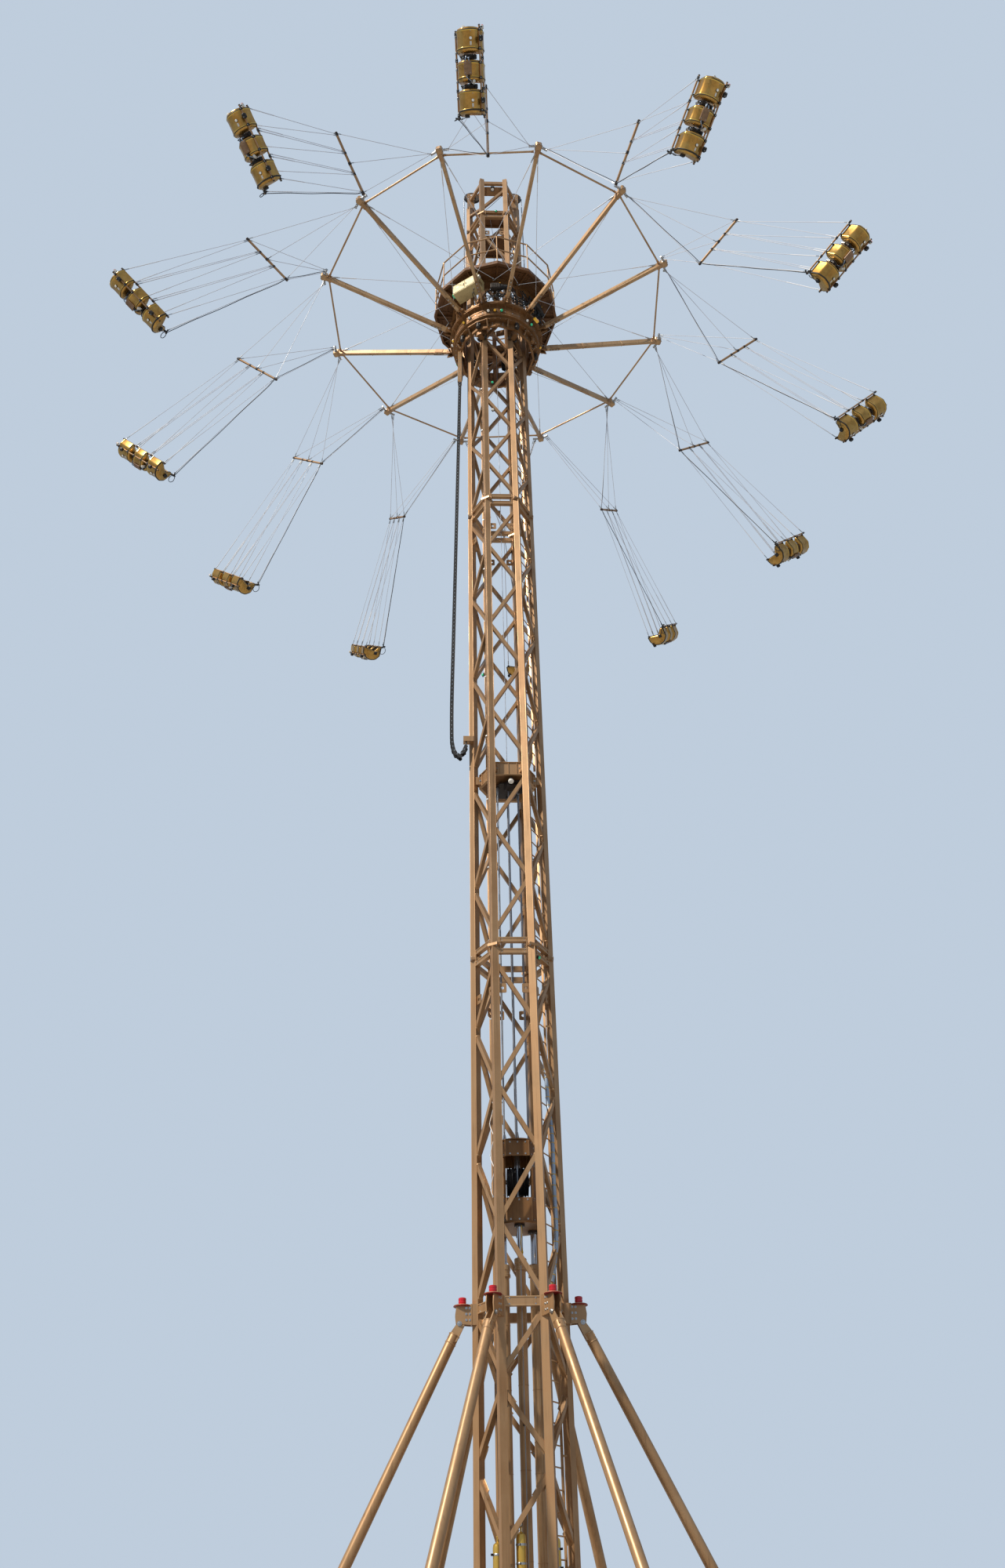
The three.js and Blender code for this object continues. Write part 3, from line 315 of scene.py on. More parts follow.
PAINT = {
    "bronze": finish("bronze_paint", (186, 148, 108), (164, 126, 88), (0.30, 0.50), 0.45, 0.12,
        streak=(104, 76, 50), dust=(190, 178, 156)),
    # A lighter copy of the bronze paint: a painted highlight for sunlit faces and edges.
    "painted_highlight_bronze": finish("painted_highlight_bronze_paint", (200, 164, 122), (178, 140, 100), (0.28, 0.46), 0.45,
        0.12, streak=(120, 88, 58), dust=(200, 188, 166)),
    # A darker copy of the bronze paint: painted shade for undersides and for parts under the deck.
    "painted_shade_bronze": finish("painted_shade_bronze_paint", (150, 108, 66), (118, 84, 50), (0.34, 0.58), 0.45,
        0.15, streak=(60, 43, 28), dust=(160, 148, 128)),
    # The deck's paint is the bronze darkened as painted shade for the underside. The head's sheets and the
    # cabinet's louvres take it too.
    "deck": finish("deck_painted_shade_paint", (126, 86, 50), (98, 66, 38), (0.42, 0.66), 0.25, 0.25,
        streak=(56, 38, 24), dust=(160, 148, 128), patch=2.6),
    "gold": finish("seat_gold_paint", (214, 168, 88), (182, 134, 58), (0.20, 0.34), 0.8, 0.08,
        streak=(104, 74, 32), dust=(196, 180, 140), coat=0.35, patch=5.0),
    # The gold cylinders are this bright gold. On the buckets' seam beads, the same lighter gold is a painted
    # highlight.
    "bright_gold_and_painted_highlight": finish("gold_cylinder_and_painted_highlight_paint", (236, 196, 96), (214, 168, 70), (0.20, 0.34), 0.7, 0.1,
        coat=0.3),
    "cable": finish("white_cable_sheath", (236, 236, 240), (208, 210, 220), (0.35, 0.5), 0.1, 0.3,
        strands=90.0),
    "sleeve": finish("white_sleeve", (246, 246, 248), (226, 228, 236), (0.3, 0.45), 0.0, 0.1),
    "rope": finish("galvanised_rope", (176, 180, 188), (138, 142, 150), (0.35, 0.5), 0.85, 0.6,
        strands=120.0),
    "zinc": finish("zinc_plated_steel", (205, 208, 210), (170, 172, 172), (0.25, 0.45), 0.9, 0.15),
    "chrome": finish("chrome_rod", (224, 226, 230), (206, 208, 212), (0.06, 0.12), 1.0, 0.02),
    "black": finish("black_rubber", (26, 26, 28), (40, 40, 42), (0.5, 0.75), 0.0, 0.25, dust=(110, 104, 96)),
    "iron": finish("dark_machine_paint", (48, 44, 42), (66, 58, 52), (0.4, 0.6), 0.35, 0.2,
        streak=(28, 24, 22), dust=(110, 102, 90)),
    "trim": finish("dark_seat_trim", (44, 38, 30), (62, 52, 36), (0.4, 0.6), 0.0, 0.2, patch=6.0),
    # Light grey for the chain's sunlit face, a painted highlight.
    "link": finish("chain_painted_highlight_paint", (186, 178, 168), (150, 144, 138), (0.4, 0.6), 0.0, 0.2),
    "gear_box": finish("brown_box_paint", (158, 124, 92), (136, 104, 76), (0.4, 0.6), 0.1, 0.12,
        streak=(92, 70, 50), patch=6.0),
    "beige": finish("cabinet_beige_paint", (222, 204, 152), (204, 184, 132), (0.38, 0.52), 0.05, 0.15,
        streak=(146, 128, 90), dust=(206, 196, 170), patch=3.0),
    "plate": finish("blank_white_plate", (232, 230, 222), (214, 212, 204), (0.3, 0.4), 0.0, 0.08),
    "red": finish("red_cap_gloss", (206, 32, 44), (170, 22, 34), (0.16, 0.3), 0.0, 0.05, coat=0.6),
    "red_edge": finish("red_primer", (150, 40, 34), (118, 30, 28), (0.4, 0.6), 0.1, 0.15),
    "silver_hose": finish("silver_hose", (176, 190, 206), (140, 154, 172), (0.25, 0.4), 0.6, 0.3),
    "yellow": finish("yellow_wrap", (226, 184, 40), (196, 152, 30), (0.4, 0.55), 0.0, 0.15),
    "lamp_white": finish("white_lens", (240, 238, 230), (222, 218, 208), (0.12, 0.2), 0.0, 0.02,
        coat=0.8, glow=0.12),
    "lamp_green": finish("green_lens", (60, 214, 150), (40, 180, 128), (0.12, 0.2), 0.0, 0.02, coat=0.8,
        glow=0.25),
    "lamp_yellow": finish("yellow_lens", (244, 190, 40), (226, 164, 26), (0.12, 0.2), 0.0, 0.02,
        coat=0.8, glow=0.2),
    "lamp_red": finish("red_lens", (226, 60, 60), (196, 40, 44), (0.12, 0.2), 0.0, 0.02, coat=0.8, glow=0.2),
}
print("finishes", len(PAINT))

# %% [markdown]
# ## Tools for building meshes
# Every finer piece is a few kinds of part: a bar with broken edges, a tube along a path, a turned shape, a
# plate cut to an outline, and a bolt. `Piece` collects these into one mesh and keeps a finish for each.
# Broken edges matter: they catch the light as real folded steel does.

# %% The mesh collector
def polar(angle, radius, height):
    """A point by its angle from the tower's front, its distance from the axis and its height."""
    return xyz(sin(angle) * radius, -cos(angle) * radius, height)


def side_of(direction):
    """Any vector square to a direction."""
    other = RIGHT if abs(direction.z) > 0.9 else UP
    return direction.cross(other).normalized()


def ring(centre, axis, radius, sides, normal=None):
    """Points round an axis. The first lies where normal points."""
    normal = normal or side_of(axis)
    other = axis.cross(normal)
    turns = [2 * pi * s / sides for s in range(sides)]
    return [centre + (normal * cos(turn) + other * sin(turn)) * radius for turn in turns]


def collar(low, high, chamfer, length):
    """The profile of a short round collar with its edges broken."""
    return [(low, 0), (high, chamfer), (high, length - chamfer), (low, length)]


def quads(rows, columns, around=True, closed=False):
    """The faces between rows of points that follow each other in one list."""
    faces = []
    for row in range(rows if closed else rows - 1):
        a, b = row * columns, (row + 1) % rows * columns
        for s in range(columns if around else columns - 1):
            t = (s + 1) % columns
            faces.append((a + s, a + t, b + t, b + s))
    return faces


def signs_at(face, sign, first, second):
    """The signs of a block's corner: one for the axis of a face, two for the other axes."""
    signs = [first, second]
    signs.insert(face, sign)
    return tuple(signs)


class Piece:
    def __init__(self, name):
        self.name = name
        self.points = []
        self.faces = []
        self.face_paint = []
        self.paints = []

    def index_of(self, paint):
        if paint not in self.paints:
            self.paints.append(paint)
        return self.paints.index(paint)

    def add(self, points, faces, paint):
        start = len(self.points)
        self.points.extend(points)
        self.faces.extend(tuple(start + i for i in face) for face in faces)
        self.face_paint.extend([self.index_of(paint)] * len(faces))

    def bar(self, centre, size, axes, paint, edge=0.004):
        """A block with broken edges. axes are three unit vectors, and size is measured along them."""
        half = [s / 2 for s in size]
        edge = min(edge, *(0.45 * s for s in size))
        points, number = [], {}
        signs = [(a, b, c) for a in SIDES for b in SIDES for c in SIDES]
        for sign in signs:
            for face in range(3):
                local = [sign[i] * (half[i] if i == face else half[i] - edge) for i in range(3)]
                number[sign, face] = len(points)
                points.append(centre + sum((axes[i] * local[i] for i in range(3)), Vector()))
        faces = []
        for face in range(3):
            a, b = [i for i in range(3) if i != face]
            for s in SIDES:
                turns = ((-1, -1), (1, -1), (1, 1), (-1, 1))
                faces.append(tuple(number[signs_at(face, s, *turn), face] for turn in turns))
            for sa in SIDES:
                for sb in SIDES:
                    low, high = signs_at(face, -1, sa, sb), signs_at(face, 1, sa, sb)
                    faces.append((number[low, a], number[high, a], number[high, b], number[low, b]))
        faces.extend(tuple(number[sign, face] for face in range(3)) for sign in signs)
        self.add(points, faces, paint)

    def beam(self, start, end, across, width, depth, paint, edge=0.004):
        """A bar from point to point. width runs as near to across as it can."""
        along = unit(end - start)
        other = along.cross(across).normalized()
        first = other.cross(along)
        self.bar((start + end) / 2, (width, depth, (end - start).length), (first, other, along), paint, edge)

    def tube(self, path, radius, paint, sides=12, closed=False):
        """A round tube along a path, carried without twist. radius is one number, or one for each point."""
        count = len(path)
        radii = radius if isinstance(radius, (list, tuple)) else [radius] * count
        directions = []
        for i in range(count):
            before = path[i - 1] if i or closed else path[0]
            after = path[(i + 1) % count] if i < count - 1 or closed else path[-1]
            directions.append(unit(after - before))
        normal = side_of(directions[0])
        points = []
        for centre, direction, reach in zip(path, directions, radii):
            normal = unit(normal - direction * normal.dot(direction))
            points += ring(centre, direction, reach, sides, normal)
        self.skin(points, sides, paint, closed)

    def skin(self, points, sides, paint, closed=False):
        """Faces between rings of points, with a lid on either end."""
        rows = len(points) // sides
        lids = [] if closed else [range(sides - 1, -1, -1), range((rows - 1) * sides, rows * sides)]
        self.add(points, quads(rows, sides, True, closed) + [tuple(lid) for lid in lids], paint)

    def turned(self, origin, axis, profile, paint, sides=16):
        """A turned shape. profile lists radius and distance along the axis."""
        points = []
        for radius, height in profile:
            points += ring(origin + axis * height, axis, max(radius, 0.0004), sides)
        self.skin(points, sides, paint)

    def plate(self, outline, thickness, origin, across, up, paint):
        """A flat plate cut to an outline of [across, up] points."""
        side = across.cross(up).normalized() * (thickness / 2)
        count = len(outline)
        flat = [origin + across * a + up * b for a, b in outline]
        points = [p - side for p in flat] + [p + side for p in flat]
        faces = [tuple(range(count - 1, -1, -1)), tuple(range(count, 2 * count))]
        faces.extend((i, (i + 1) % count, count + (i + 1) % count, count + i) for i in range(count))
        self.add(points, faces, paint)

    def bolt(self, place, axis, size=0.024, paint="zinc"):
        """A washer and a six-sided head, standing on a surface."""
        self.turned(place, axis, [(size * 0.95, 0), (size * 0.95, size * 0.12)], paint, 10)
        head = [(size * 0.62, size * 0.12), (size * 0.62, size * 0.55), (size * 0.52, size * 0.66)]
        self.turned(place, axis, head, paint, 6)

    def lamp(self, place, axis, radius, paint):
        """A round lamp: a dark seat, a bright rim and a domed lens."""
        seat = [(radius * 1.15, 0), (radius * 1.15, radius * 0.3), (radius, radius * 0.36)]
        self.turned(place, axis, seat, "iron", 12)
        dome = [(radius * cos(t), radius * (0.36 + 0.62 * sin(t))) for t in (0, 0.4, 0.8, 1.15, 1.5)]
        self.turned(place, axis, dome, paint, 12)

    def mesh(self):
        data = bpy.data.meshes.new(self.name)
        data.from_pydata([tuple(p) for p in self.points], [], self.faces)
        for paint in self.paints:
            data.materials.append(PAINT[paint])
        data.polygons.foreach_set("material_index", self.face_paint)
        work = bmesh.new()
        work.from_mesh(data)
        bmesh.ops.recalc_face_normals(work, faces=work.faces)
        work.to_mesh(data)
        work.free()
        data.polygons.foreach_set("use_smooth", [True] * len(data.polygons))
        data.set_sharp_from_angle(angle=radians(34))
        return data

    def make(self, body=None, stands_for=()):
        """Turns what was collected into an object that rides on a body."""
        thing = bpy.data.objects.new(self.name, self.mesh())
        show(thing)
        if body:
            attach(thing, body)
        if stands_for:
            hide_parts(*stands_for)
        triangles = sum(len(face) - 2 for face in self.faces)
        print(f"{self.name}: {triangles} triangles")
        return thing


def dress(node, *paints):
    """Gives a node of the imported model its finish."""
    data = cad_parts[node].data
    data.materials.clear()
    for paint in paints:
        data.materials.append(PAINT[paint])
    data.polygons.foreach_set("material_index", [0] * len(data.polygons))
    data.update()


def smooth_path(points, steps=6):
    """A rounded path through the points."""
    points = [Vector(p) for p in points]
    path = []
    for i in range(len(points) - 1):
        a = points[max(i - 1, 0)]
        b, c = points[i], points[i + 1]
        d = points[min(i + 2, len(points) - 1)]
        for s in range(steps):
            t = s / steps
            path.append(0.5 * ((2 * b) + (c - a) * t + (2 * a - 5 * b + 4 * c - d) * t * t
                               + (3 * b - 3 * c + d - a) * t ** 3))
    path.append(points[-1])
    return path


print("tools ready")

# %% [markdown]
# ## The tower
# The tower is a hexagon of six square posts, in three bolted sections and a head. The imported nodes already
# have the posts, the lattice and the belts, so they only take paint. What the eye misses on them is small:
# the rounded edges of the posts, the bolts of the joints, the channel shape of the belts and the gussets.

# %% Tower measures
TOWER_RADIUS = 0.655
POST = 0.120
POST_REACH = POST * sqrt(0.5)
JOINTS = [0.750, 11.895, 23.040, 34.185]
COLLAR = 6.0
HEAD_TOP = 35.870
SIDE_TOP = 35.400
ARM_STEP = pi / 6
FIRST_ARM = radians(-18.7)
TIP_RADIUS, TIP_HEIGHT = 4.5, 30.79
HEAD_SHEAVE = 35.93


def post_angle(i):
    return radians(-90 + 60 * i)


def face_angle(i):
    return post_angle(i) + pi / 6


def hexagon(radius):
    """Six corners, with one flat side to the front."""
    return [polar(radians(30 + 60 * i), radius, 0) for i in range(6)]


def axes_at(angle):
    """Outward, sideways and up at an angle round the tower."""
    return polar(angle, 1, 0), xyz(cos(angle), sin(angle), 0), UP


for name in ("base_frame", "tower_section_lower", "tower_section_middle", "tower_section_upper", "tower_head"):
    dress(name, "bronze")

# %% [markdown]
# Each post is a square tube that stands with one edge outward, so one of its two outer faces is lit and the
# other is in shade. The tube's edges are rounded, and a rounded edge catches the sun as a thin bright line. A
# thin round bead laid along three edges gives that line. The beads stop at each joint's end plates.

# %% Rounded edges along the posts
lips = Piece("post_edges")
spans = [(JOINTS[n] + 0.026, JOINTS[n + 1] - 0.026) for n in range(3)]
for i in range(6):
    axes = out, across, up = axes_at(post_angle(i))
    top = SIDE_TOP - 0.07 if i % 3 == 0 else HEAD_TOP - 0.002
    for low, high in spans + [(JOINTS[3] + 0.026, top)]:
        for ahead, aside in ((1, 0), (0, 1), (0, -1)):
            edge = out * (TOWER_RADIUS + ahead * (POST_REACH - 0.007)) + across * (aside * (POST_REACH - 0.007))
            lips.tube([edge + up * low, edge + up * high], 0.0062, "bronze", 8)
lips.make("tower")

# %% [markdown]
# A joint is two end plates on each post, bolted face to face, with the belts close above and below. The belts
# are channels: two lips with a groove between them. Next to a post each belt carries a small upright flange.

# %% Joints and belts
joints = Piece("section_joint_bolts")
for level in JOINTS:
    for i in range(6):
        axes = out, across, up = axes_at(post_angle(i))
        for radial in (0.588, 0.716):
            for side in SIDES:
                place = out * radial + across * (side * 0.074) + up * level
                joints.bolt(place + up * 0.0242, up, 0.019)
                joints.bolt(place - up * 0.0242, -up, 0.019)
joints.make("tower")

channels = Piece("belt_channel_lips")
belts = [(JOINTS[0] + 0.13, 0.11)] + [(COLLAR, 0.14)]
belts += [(level - 0.11, 0.09) for level in JOINTS[1:]] + [(level + 0.11, 0.09) for level in JOINTS[1:]]
BELT_FACE = TOWER_RADIUS * cos(pi / 6) + 0.035
for height, tall in belts:
    for i in range(6):
        axes = out, across, up = axes_at(face_angle(i))
        for side in SIDES:
            centre = out * (BELT_FACE + 0.004) + up * (height + side * (tall / 2 - 0.009))
            channels.bar(centre, (0.012, 0.53, 0.018), axes, "painted_highlight_bronze", 0.003)
        for side in SIDES:
            for shift in (-0.3, 0.3):
                channels.bolt(out * (BELT_FACE + 0.0005) + across * (side * 0.195) + up * (height + shift * tall),
                    out, 0.012)
for level in JOINTS[1:]:
    for i in range(6):
        axes = out, across, up = axes_at(face_angle(i))
        for side in SIDES:
            flange = out * (BELT_FACE + 0.006) + across * (side * 0.232) + up * level
            channels.bar(flange, (0.016, 0.014, 0.31), axes, "bronze", 0.003)
channels.make("tower")

# %% [markdown]
# Below the strut collar every lattice bar ends on a gusset with four bolts. The gussets sit on the inner side
# of the bars, so they show on the far faces of the tower, seen through the near ones. Above the collar the
# bars are welded, and each weld shows as a small thickening where two bars meet a post.

# %% Gussets and weld collars
def brace_end(i, odd):
    return i if (i % 2 == 1) == odd else i + 1


def brace_line(i, low_on_odd, low, high):
    start = polar(post_angle(brace_end(i, low_on_odd)), TOWER_RADIUS, low)
    end = polar(post_angle(brace_end(i, not low_on_odd)), TOWER_RADIUS, high)
    return start, end


gussets = Piece("lower_gussets")
for bay in range(4):
    low = 1.81 + bay * 1.07
    for i in range(6):
        start, end = brace_line(i, bay % 2 == 1, low, low + 0.87)
        out = polar(face_angle(i), 1, 0)
        along = unit(end - start)
        other = out.cross(along)
        for end_point, sign in ((start, 1), (end, -1)):
            middle = end_point + along * (sign * 0.165) - out * 0.040
            gussets.bar(middle, (0.012, 0.125, 0.20), (out, other, along), "painted_highlight_bronze", 0.003)
            for a in (-0.06, 0.06):
                for b in (-0.036, 0.036):
                    gussets.bolt(middle + along * a + other * b - out * 0.006, -out, 0.017)
gussets.make("tower")

welds = Piece("lattice_weld_pads")
runs = [(COLLAR + 0.08, 1.104, 5, False), (12.17, 1.1145, 3, True), (16.01, 1.125, 6, False),
    (23.2, 1.1145, 9, False)]
for first, pitch, count, first_on_odd in runs:
    for level in range(count):
        low_on_odd = (level % 2 == 0) == first_on_odd
        low = first + level * pitch
        for i in range(6):
            start, end = brace_line(i, low_on_odd, low, low + pitch)
            out = polar(face_angle(i), 1, 0)
            along = unit(end - start)
            for end_point, sign in ((start, 1), (end, -1)):
                near = end_point + along * (sign * 0.085)
                far = end_point + along * (sign * 0.125)
                welds.beam(near, far, out, 0.080, 0.080, "painted_highlight_bronze", 0.012)
welds.make("tower")

# %% [markdown]
# Small lifting plates with a round hole stand beside the posts near each joint. A hole is easiest as a strip
# of faces between a ring of points and the plate's outline.

# %% Lifting plates
def eye_plate(piece, middle, across, up, half_width, half_tall, hole, thickness, paint):
    """A plate with a round hole. Each point of the hole's rim is joined to the outline straight out from it."""
    normal = across.cross(up).normalized() * (thickness / 2)
    count = 24
    rims, edges = [], []
    for n in range(count):
        turn = 2 * pi * n / count
        ray = (cos(turn), sin(turn))
        reach = min(half_width / max(abs(ray[0]), 1e-6), half_tall / max(abs(ray[1]), 1e-6))
        rims.append(middle + across * (ray[0] * hole) + up * (ray[1] * hole))
        edges.append(middle + across * (ray[0] * reach) + up * (ray[1] * reach))
    points = [p + normal for p in rims + edges] + [p - normal for p in rims + edges]
    faces = []
    for n in range(count):
        m = (n + 1) % count
        faces.append((n, m, count + m, count + n))
        faces.append((2 * count + n, 3 * count + n, 3 * count + m, 2 * count + m))
        faces.append((n, 2 * count + n, 2 * count + m, m))
        faces.append((count + n, count + m, 3 * count + m, 3 * count + n))
    piece.add(points, faces, paint)


lugs = Piece("lifting_plates")
for level in (11.09, 22.22, 33.36):
    for i in range(6):
        axes = out, across, up = axes_at(face_angle(i))
        for side in SIDES:
            middle = out * (BELT_FACE - 0.035) + across * (side * 0.205) + up * level
            eye_plate(lugs, middle, across, up, 0.072, 0.085, 0.030, 0.016, "bronze")
lugs.make("tower")

# %% [markdown]
# ## Struts
# Six tube struts brace the tower's foot. The upper end is a fork on a bracket with six bolts, under a round
# plate with a red cap on it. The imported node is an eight-sided bar, so a finer strut takes its place: a real
# round tube, welded collars, fork plates, bolts and a grooved cap. One function makes all six.

# %% One strut, six times
STRUT_TOP, STRUT_FOOT = (0.935, 5.80), (3.7, 0.33)
STRUT_RADIUS = 0.080
CAP_MIDDLE = 0.890


def strut(i):
    piece = Piece(f"strut_tube_{i + 1}")
    angle = post_angle(i)
    axes = out, across, up = axes_at(angle)
    top, foot = polar(angle, *STRUT_TOP), polar(angle, *STRUT_FOOT)
    along = unit(foot - top)
    square = across.cross(along).normalized()
    length = (foot - top).length
    piece.tube([top + along * 0.16, foot - along * 0.06], STRUT_RADIUS, "bronze", 28)
    for at in (0.17, 0.30, length - 0.16):
        piece.tube(ring(top + along * at, along, 0.081, 28), 0.007, "painted_highlight_bronze", 8, True)
    for side in SIDES:
        cheek = [(-0.085, -0.02), (0.24, -0.075), (0.30, 0), (0.24, 0.075), (-0.085, 0.075)]
        piece.plate(cheek, 0.018, top + across * (side * 0.052), along, square, "painted_highlight_bronze")
        gusset = [(0.741, 5.78), (0.985, 5.80), (1.0, 5.92), (0.98, 6.055), (0.741, 6.075)]
        origin = across * (side * 0.061)
        piece.plate(gusset, 0.016, origin, out, up, "bronze")
        for column in range(2):
            for row in range(3):
                place = out * (0.775 + 0.055 * column) + up * (5.85 + 0.085 * row) + across * (side * 0.069)
                piece.bolt(place, across * side, 0.020)
        piece.bolt(out * 0.935 + up * 5.80 + across * (side * 0.069), across * side, 0.040)
    piece.bar(out * 0.752 + up * 5.93, (0.022, 0.150, 0.30), axes, "bronze", 0.004)
    disc = collar(0.134, 0.138, 0.003, 0.012)
    piece.turned(out * CAP_MIDDLE + up * 6.050, up, disc, "red_edge", 36)
    piece.turned(out * CAP_MIDDLE + up * 6.062, up, [(0.131, 0), (0.131, 0.007), (0.126, 0.010)], "painted_highlight_bronze", 36)
    cap = [(0.060, 0), (0.060, 0.022), (0.056, 0.025), (0.056, 0.031), (0.060, 0.034), (0.060, 0.060),
           (0.056, 0.063), (0.056, 0.069), (0.060, 0.072), (0.060, 0.098), (0.054, 0.106), (0.03, 0.110)]
    piece.turned(out * CAP_MIDDLE + up * 6.072, up, cap, "red", 28)
    piece.turned(out * CAP_MIDDLE + up * 6.1765, up, [(0.040, 0), (0.040, 0.006), (0.032, 0.0085)], "painted_highlight_bronze", 20)
    shoe = out * STRUT_FOOT[0]
    piece.bar(shoe + up * 0.272, (0.298, 0.178, 0.022), axes, "bronze", 0.004)
    for side in SIDES:
        ear = [(-0.12, 0.283), (0.12, 0.283), (0.075, 0.40), (0.03, 0.4195), (-0.03, 0.4195), (-0.075, 0.40)]
        piece.plate(ear, 0.018, shoe + across * (side * 0.045), out, up, "painted_highlight_bronze")
        piece.bolt(shoe + up * 0.345 + across * (side * 0.054), across * side, 0.036)
        for reach in (-0.125, 0.125):
            piece.bolt(shoe + out * reach + across * (side * 0.072) + up * 0.283, up, 0.022)
    piece.tube([foot - along * 0.075, foot + along * 0.01], [0.079, 0.034], "bronze", 28)
    piece.make("tower", [f"strut_{i + 1}"])


for i in range(6):
    strut(i)

# %% [markdown]
# The base frame is a star of beams, and each foot is held to the ground with anchor bolts. The photograph
# stops above it, so this follows the usual foot of such a tower.

# %% Anchor bolts and stiffeners of the base
anchors = Piece("base_anchor_bolts")
for i in range(6):
    axes = out, across, up = axes_at(post_angle(i))
    for radial in (-1, 1):
        for side in SIDES:
            place = out * (3.7 + radial * 0.165) + across * (side * 0.165) + up * 0.040
            anchors.turned(place, up, [(0.012, 0), (0.012, 0.085), (0.009, 0.09)], "zinc", 10)
            anchors.bolt(place, up, 0.034)
        anchors.bar(out * (TOWER_RADIUS + radial * 0.135) + up * 0.40, (0.068, 0.016, 0.22), axes, "painted_highlight_bronze", 0.004)
    for radial in (1.4, 2.2, 3.0):
        for side in SIDES:
            anchors.bar(out * radial + across * (side * 0.094) + up * 0.13, (0.012, 0.008, 0.24), axes, "painted_highlight_bronze",
                0.002)
anchors.make("tower")

# %% [markdown]
# ## Lift gear
# Three long cylinders inside the tower's foot push a block of sheaves up, and the rope over it lifts the
# carriage four times as far. The tubes are painted bronze with a bolted gland on top, the rods are chrome.

# %% Lift cylinders
CYLINDER_RING = 0.270


def cylinder_place(i, height):
    return polar(i * 2 * pi / 3, CYLINDER_RING, height)


cylinders = Piece("lift_cylinder_set")
cylinders.plate([p.xy for p in hexagon(0.43)], 0.055, UP * 0.290, RIGHT, BACK, "painted_shade_bronze")
for i in range(3):
    foot = cylinder_place(i, 0)
    tube = [(0.092, 0.318), (0.092, 0.36), (0.075, 0.365), (0.075, 6.5), (0.095, 6.502), (0.095, 6.545),
        (0.088, 6.55), (0.088, 6.60), (0.095, 6.605), (0.095, 6.675), (0.09, 6.682), (0.052, 6.684)]
    cylinders.turned(foot, UP, tube, "painted_highlight_bronze", 28)
    cylinders.turned(foot, UP, [(0.056, 6.68), (0.056, 6.694), (0.0462, 6.6995)], "black", 24)
    for b in range(8):
        turn = b * pi / 4 + 0.3
        spot = foot + xyz(cos(turn), sin(turn), 0) * 0.072 + UP * 6.683
        cylinders.bolt(spot, UP, 0.012)
    for height in (1.6, 2.7, 3.8, 4.9, 5.8):
        cylinders.tube(ring(foot + UP * height, UP, 0.0755, 24), 0.005, "bronze", 6, True)
    out = polar(i * 2 * pi / 3, 1, 0)
    for level in (2.1, 4.4):
        cylinders.bar(foot + out * 0.085 + UP * level, (0.03, 0.05, 0.09), (out, UP.cross(out), UP), "iron", 0.004)
    pipe = [foot + out * 0.088 + UP * 0.5, foot + out * 0.093 + UP * 2.1, foot + out * 0.093 + UP * 4.4,
            foot + out * 0.097 + UP * 6.4, foot + out * 0.094 + UP * 6.56]
    cylinders.tube(pipe, 0.008, "zinc", 8)
cylinders.make("tower", ["lift_cylinders"])

# %% [markdown]
# Three small pressure bottles stand beside the cylinders in clamp rings. The front one carries a gauge.

# %% Pressure bottles
bottles = Piece("pressure_bottles")
for angle, low in ((-12, 2.55), (-58, 2.45), (52, 2.50)):
    place = polar(radians(angle), 0.485, low)
    shell = [(0.02, -0.03), (0.028, 0.0), (0.062, 0.02), (0.068, 0.05), (0.068, 0.42), (0.060, 0.46), (0.03, 0.485),
             (0.014, 0.495), (0.014, 0.54), (0.02, 0.545), (0.02, 0.565)]
    bottles.turned(place, UP, shell, "bright_gold_and_painted_highlight", 24)
    for height in (0.12, 0.34):
        bottles.turned(place + UP * height, UP, [(0.071, -0.014), (0.0735, -0.008), (0.0735, 0.008),
            (0.071, 0.014)], "zinc", 24)
        out = polar(radians(angle), 1, 0)
        bottles.beam(place + UP * height, place + UP * height + out * 0.115, UP, 0.03, 0.012, "iron")
front_bottle = radians(-12)
gauge_axis = polar(front_bottle, 1, 0)
gauge = polar(front_bottle, 0.535, 3.13)
bottles.turned(gauge, gauge_axis, [(0.036, -0.014), (0.036, 0.010), (0.033, 0.013)], "iron", 20)
bottles.turned(gauge + gauge_axis * 0.0125, gauge_axis, [(0.031, 0), (0.031, 0.002)], "plate", 20)
bottles.beam(gauge + gauge_axis * 0.0155 - UP * 0.004, gauge + gauge_axis * 0.0155 + UP * 0.022, gauge_axis,
    0.0015, 0.003, "red")
bottles.tube([polar(front_bottle, 0.485, 3.10), gauge - gauge_axis * 0.01], 0.008, "zinc", 8)
bottles.make("tower")

# %% The moving block of sheaves
def sheave(piece, hub, axis, radius, width, paint, groove=0.03):
    """A rope sheave: two rims with a groove between them, six spokes on either side and a hub."""
    half = width / 2
    rim = [(radius - groove * 1.5, -half * 0.55), (radius - 0.004, -half), (radius, -half * 0.9),
        (radius - groove, -half * 0.28), (radius - groove * 1.15, 0), (radius - groove, half * 0.28),
        (radius, half * 0.9), (radius - 0.004, half), (radius - groove * 1.5, half * 0.55)]
    piece.turned(hub, axis, rim, paint, 36)
    piece.turned(hub, axis, [(radius * 0.3, -half * 1.02), (radius * 0.3, half * 1.02)], paint, 20)
    piece.turned(hub, axis, [(radius * 0.16, -half * 1.25), (radius * 0.16, half * 1.25)], "zinc", 16)
    for side in SIDES:
        for spoke in range(6):
            turn = spoke * pi / 3
            normal = side_of(axis)
            ray = normal * cos(turn) + axis.cross(normal) * sin(turn)
            start, end = hub + ray * radius * 0.3, hub + ray * (radius - groove * 1.4)
            piece.beam(start + axis * side * half * 0.55, end + axis * side * half * 0.55, axis, 0.008, 0.022,
                paint, 0.002)


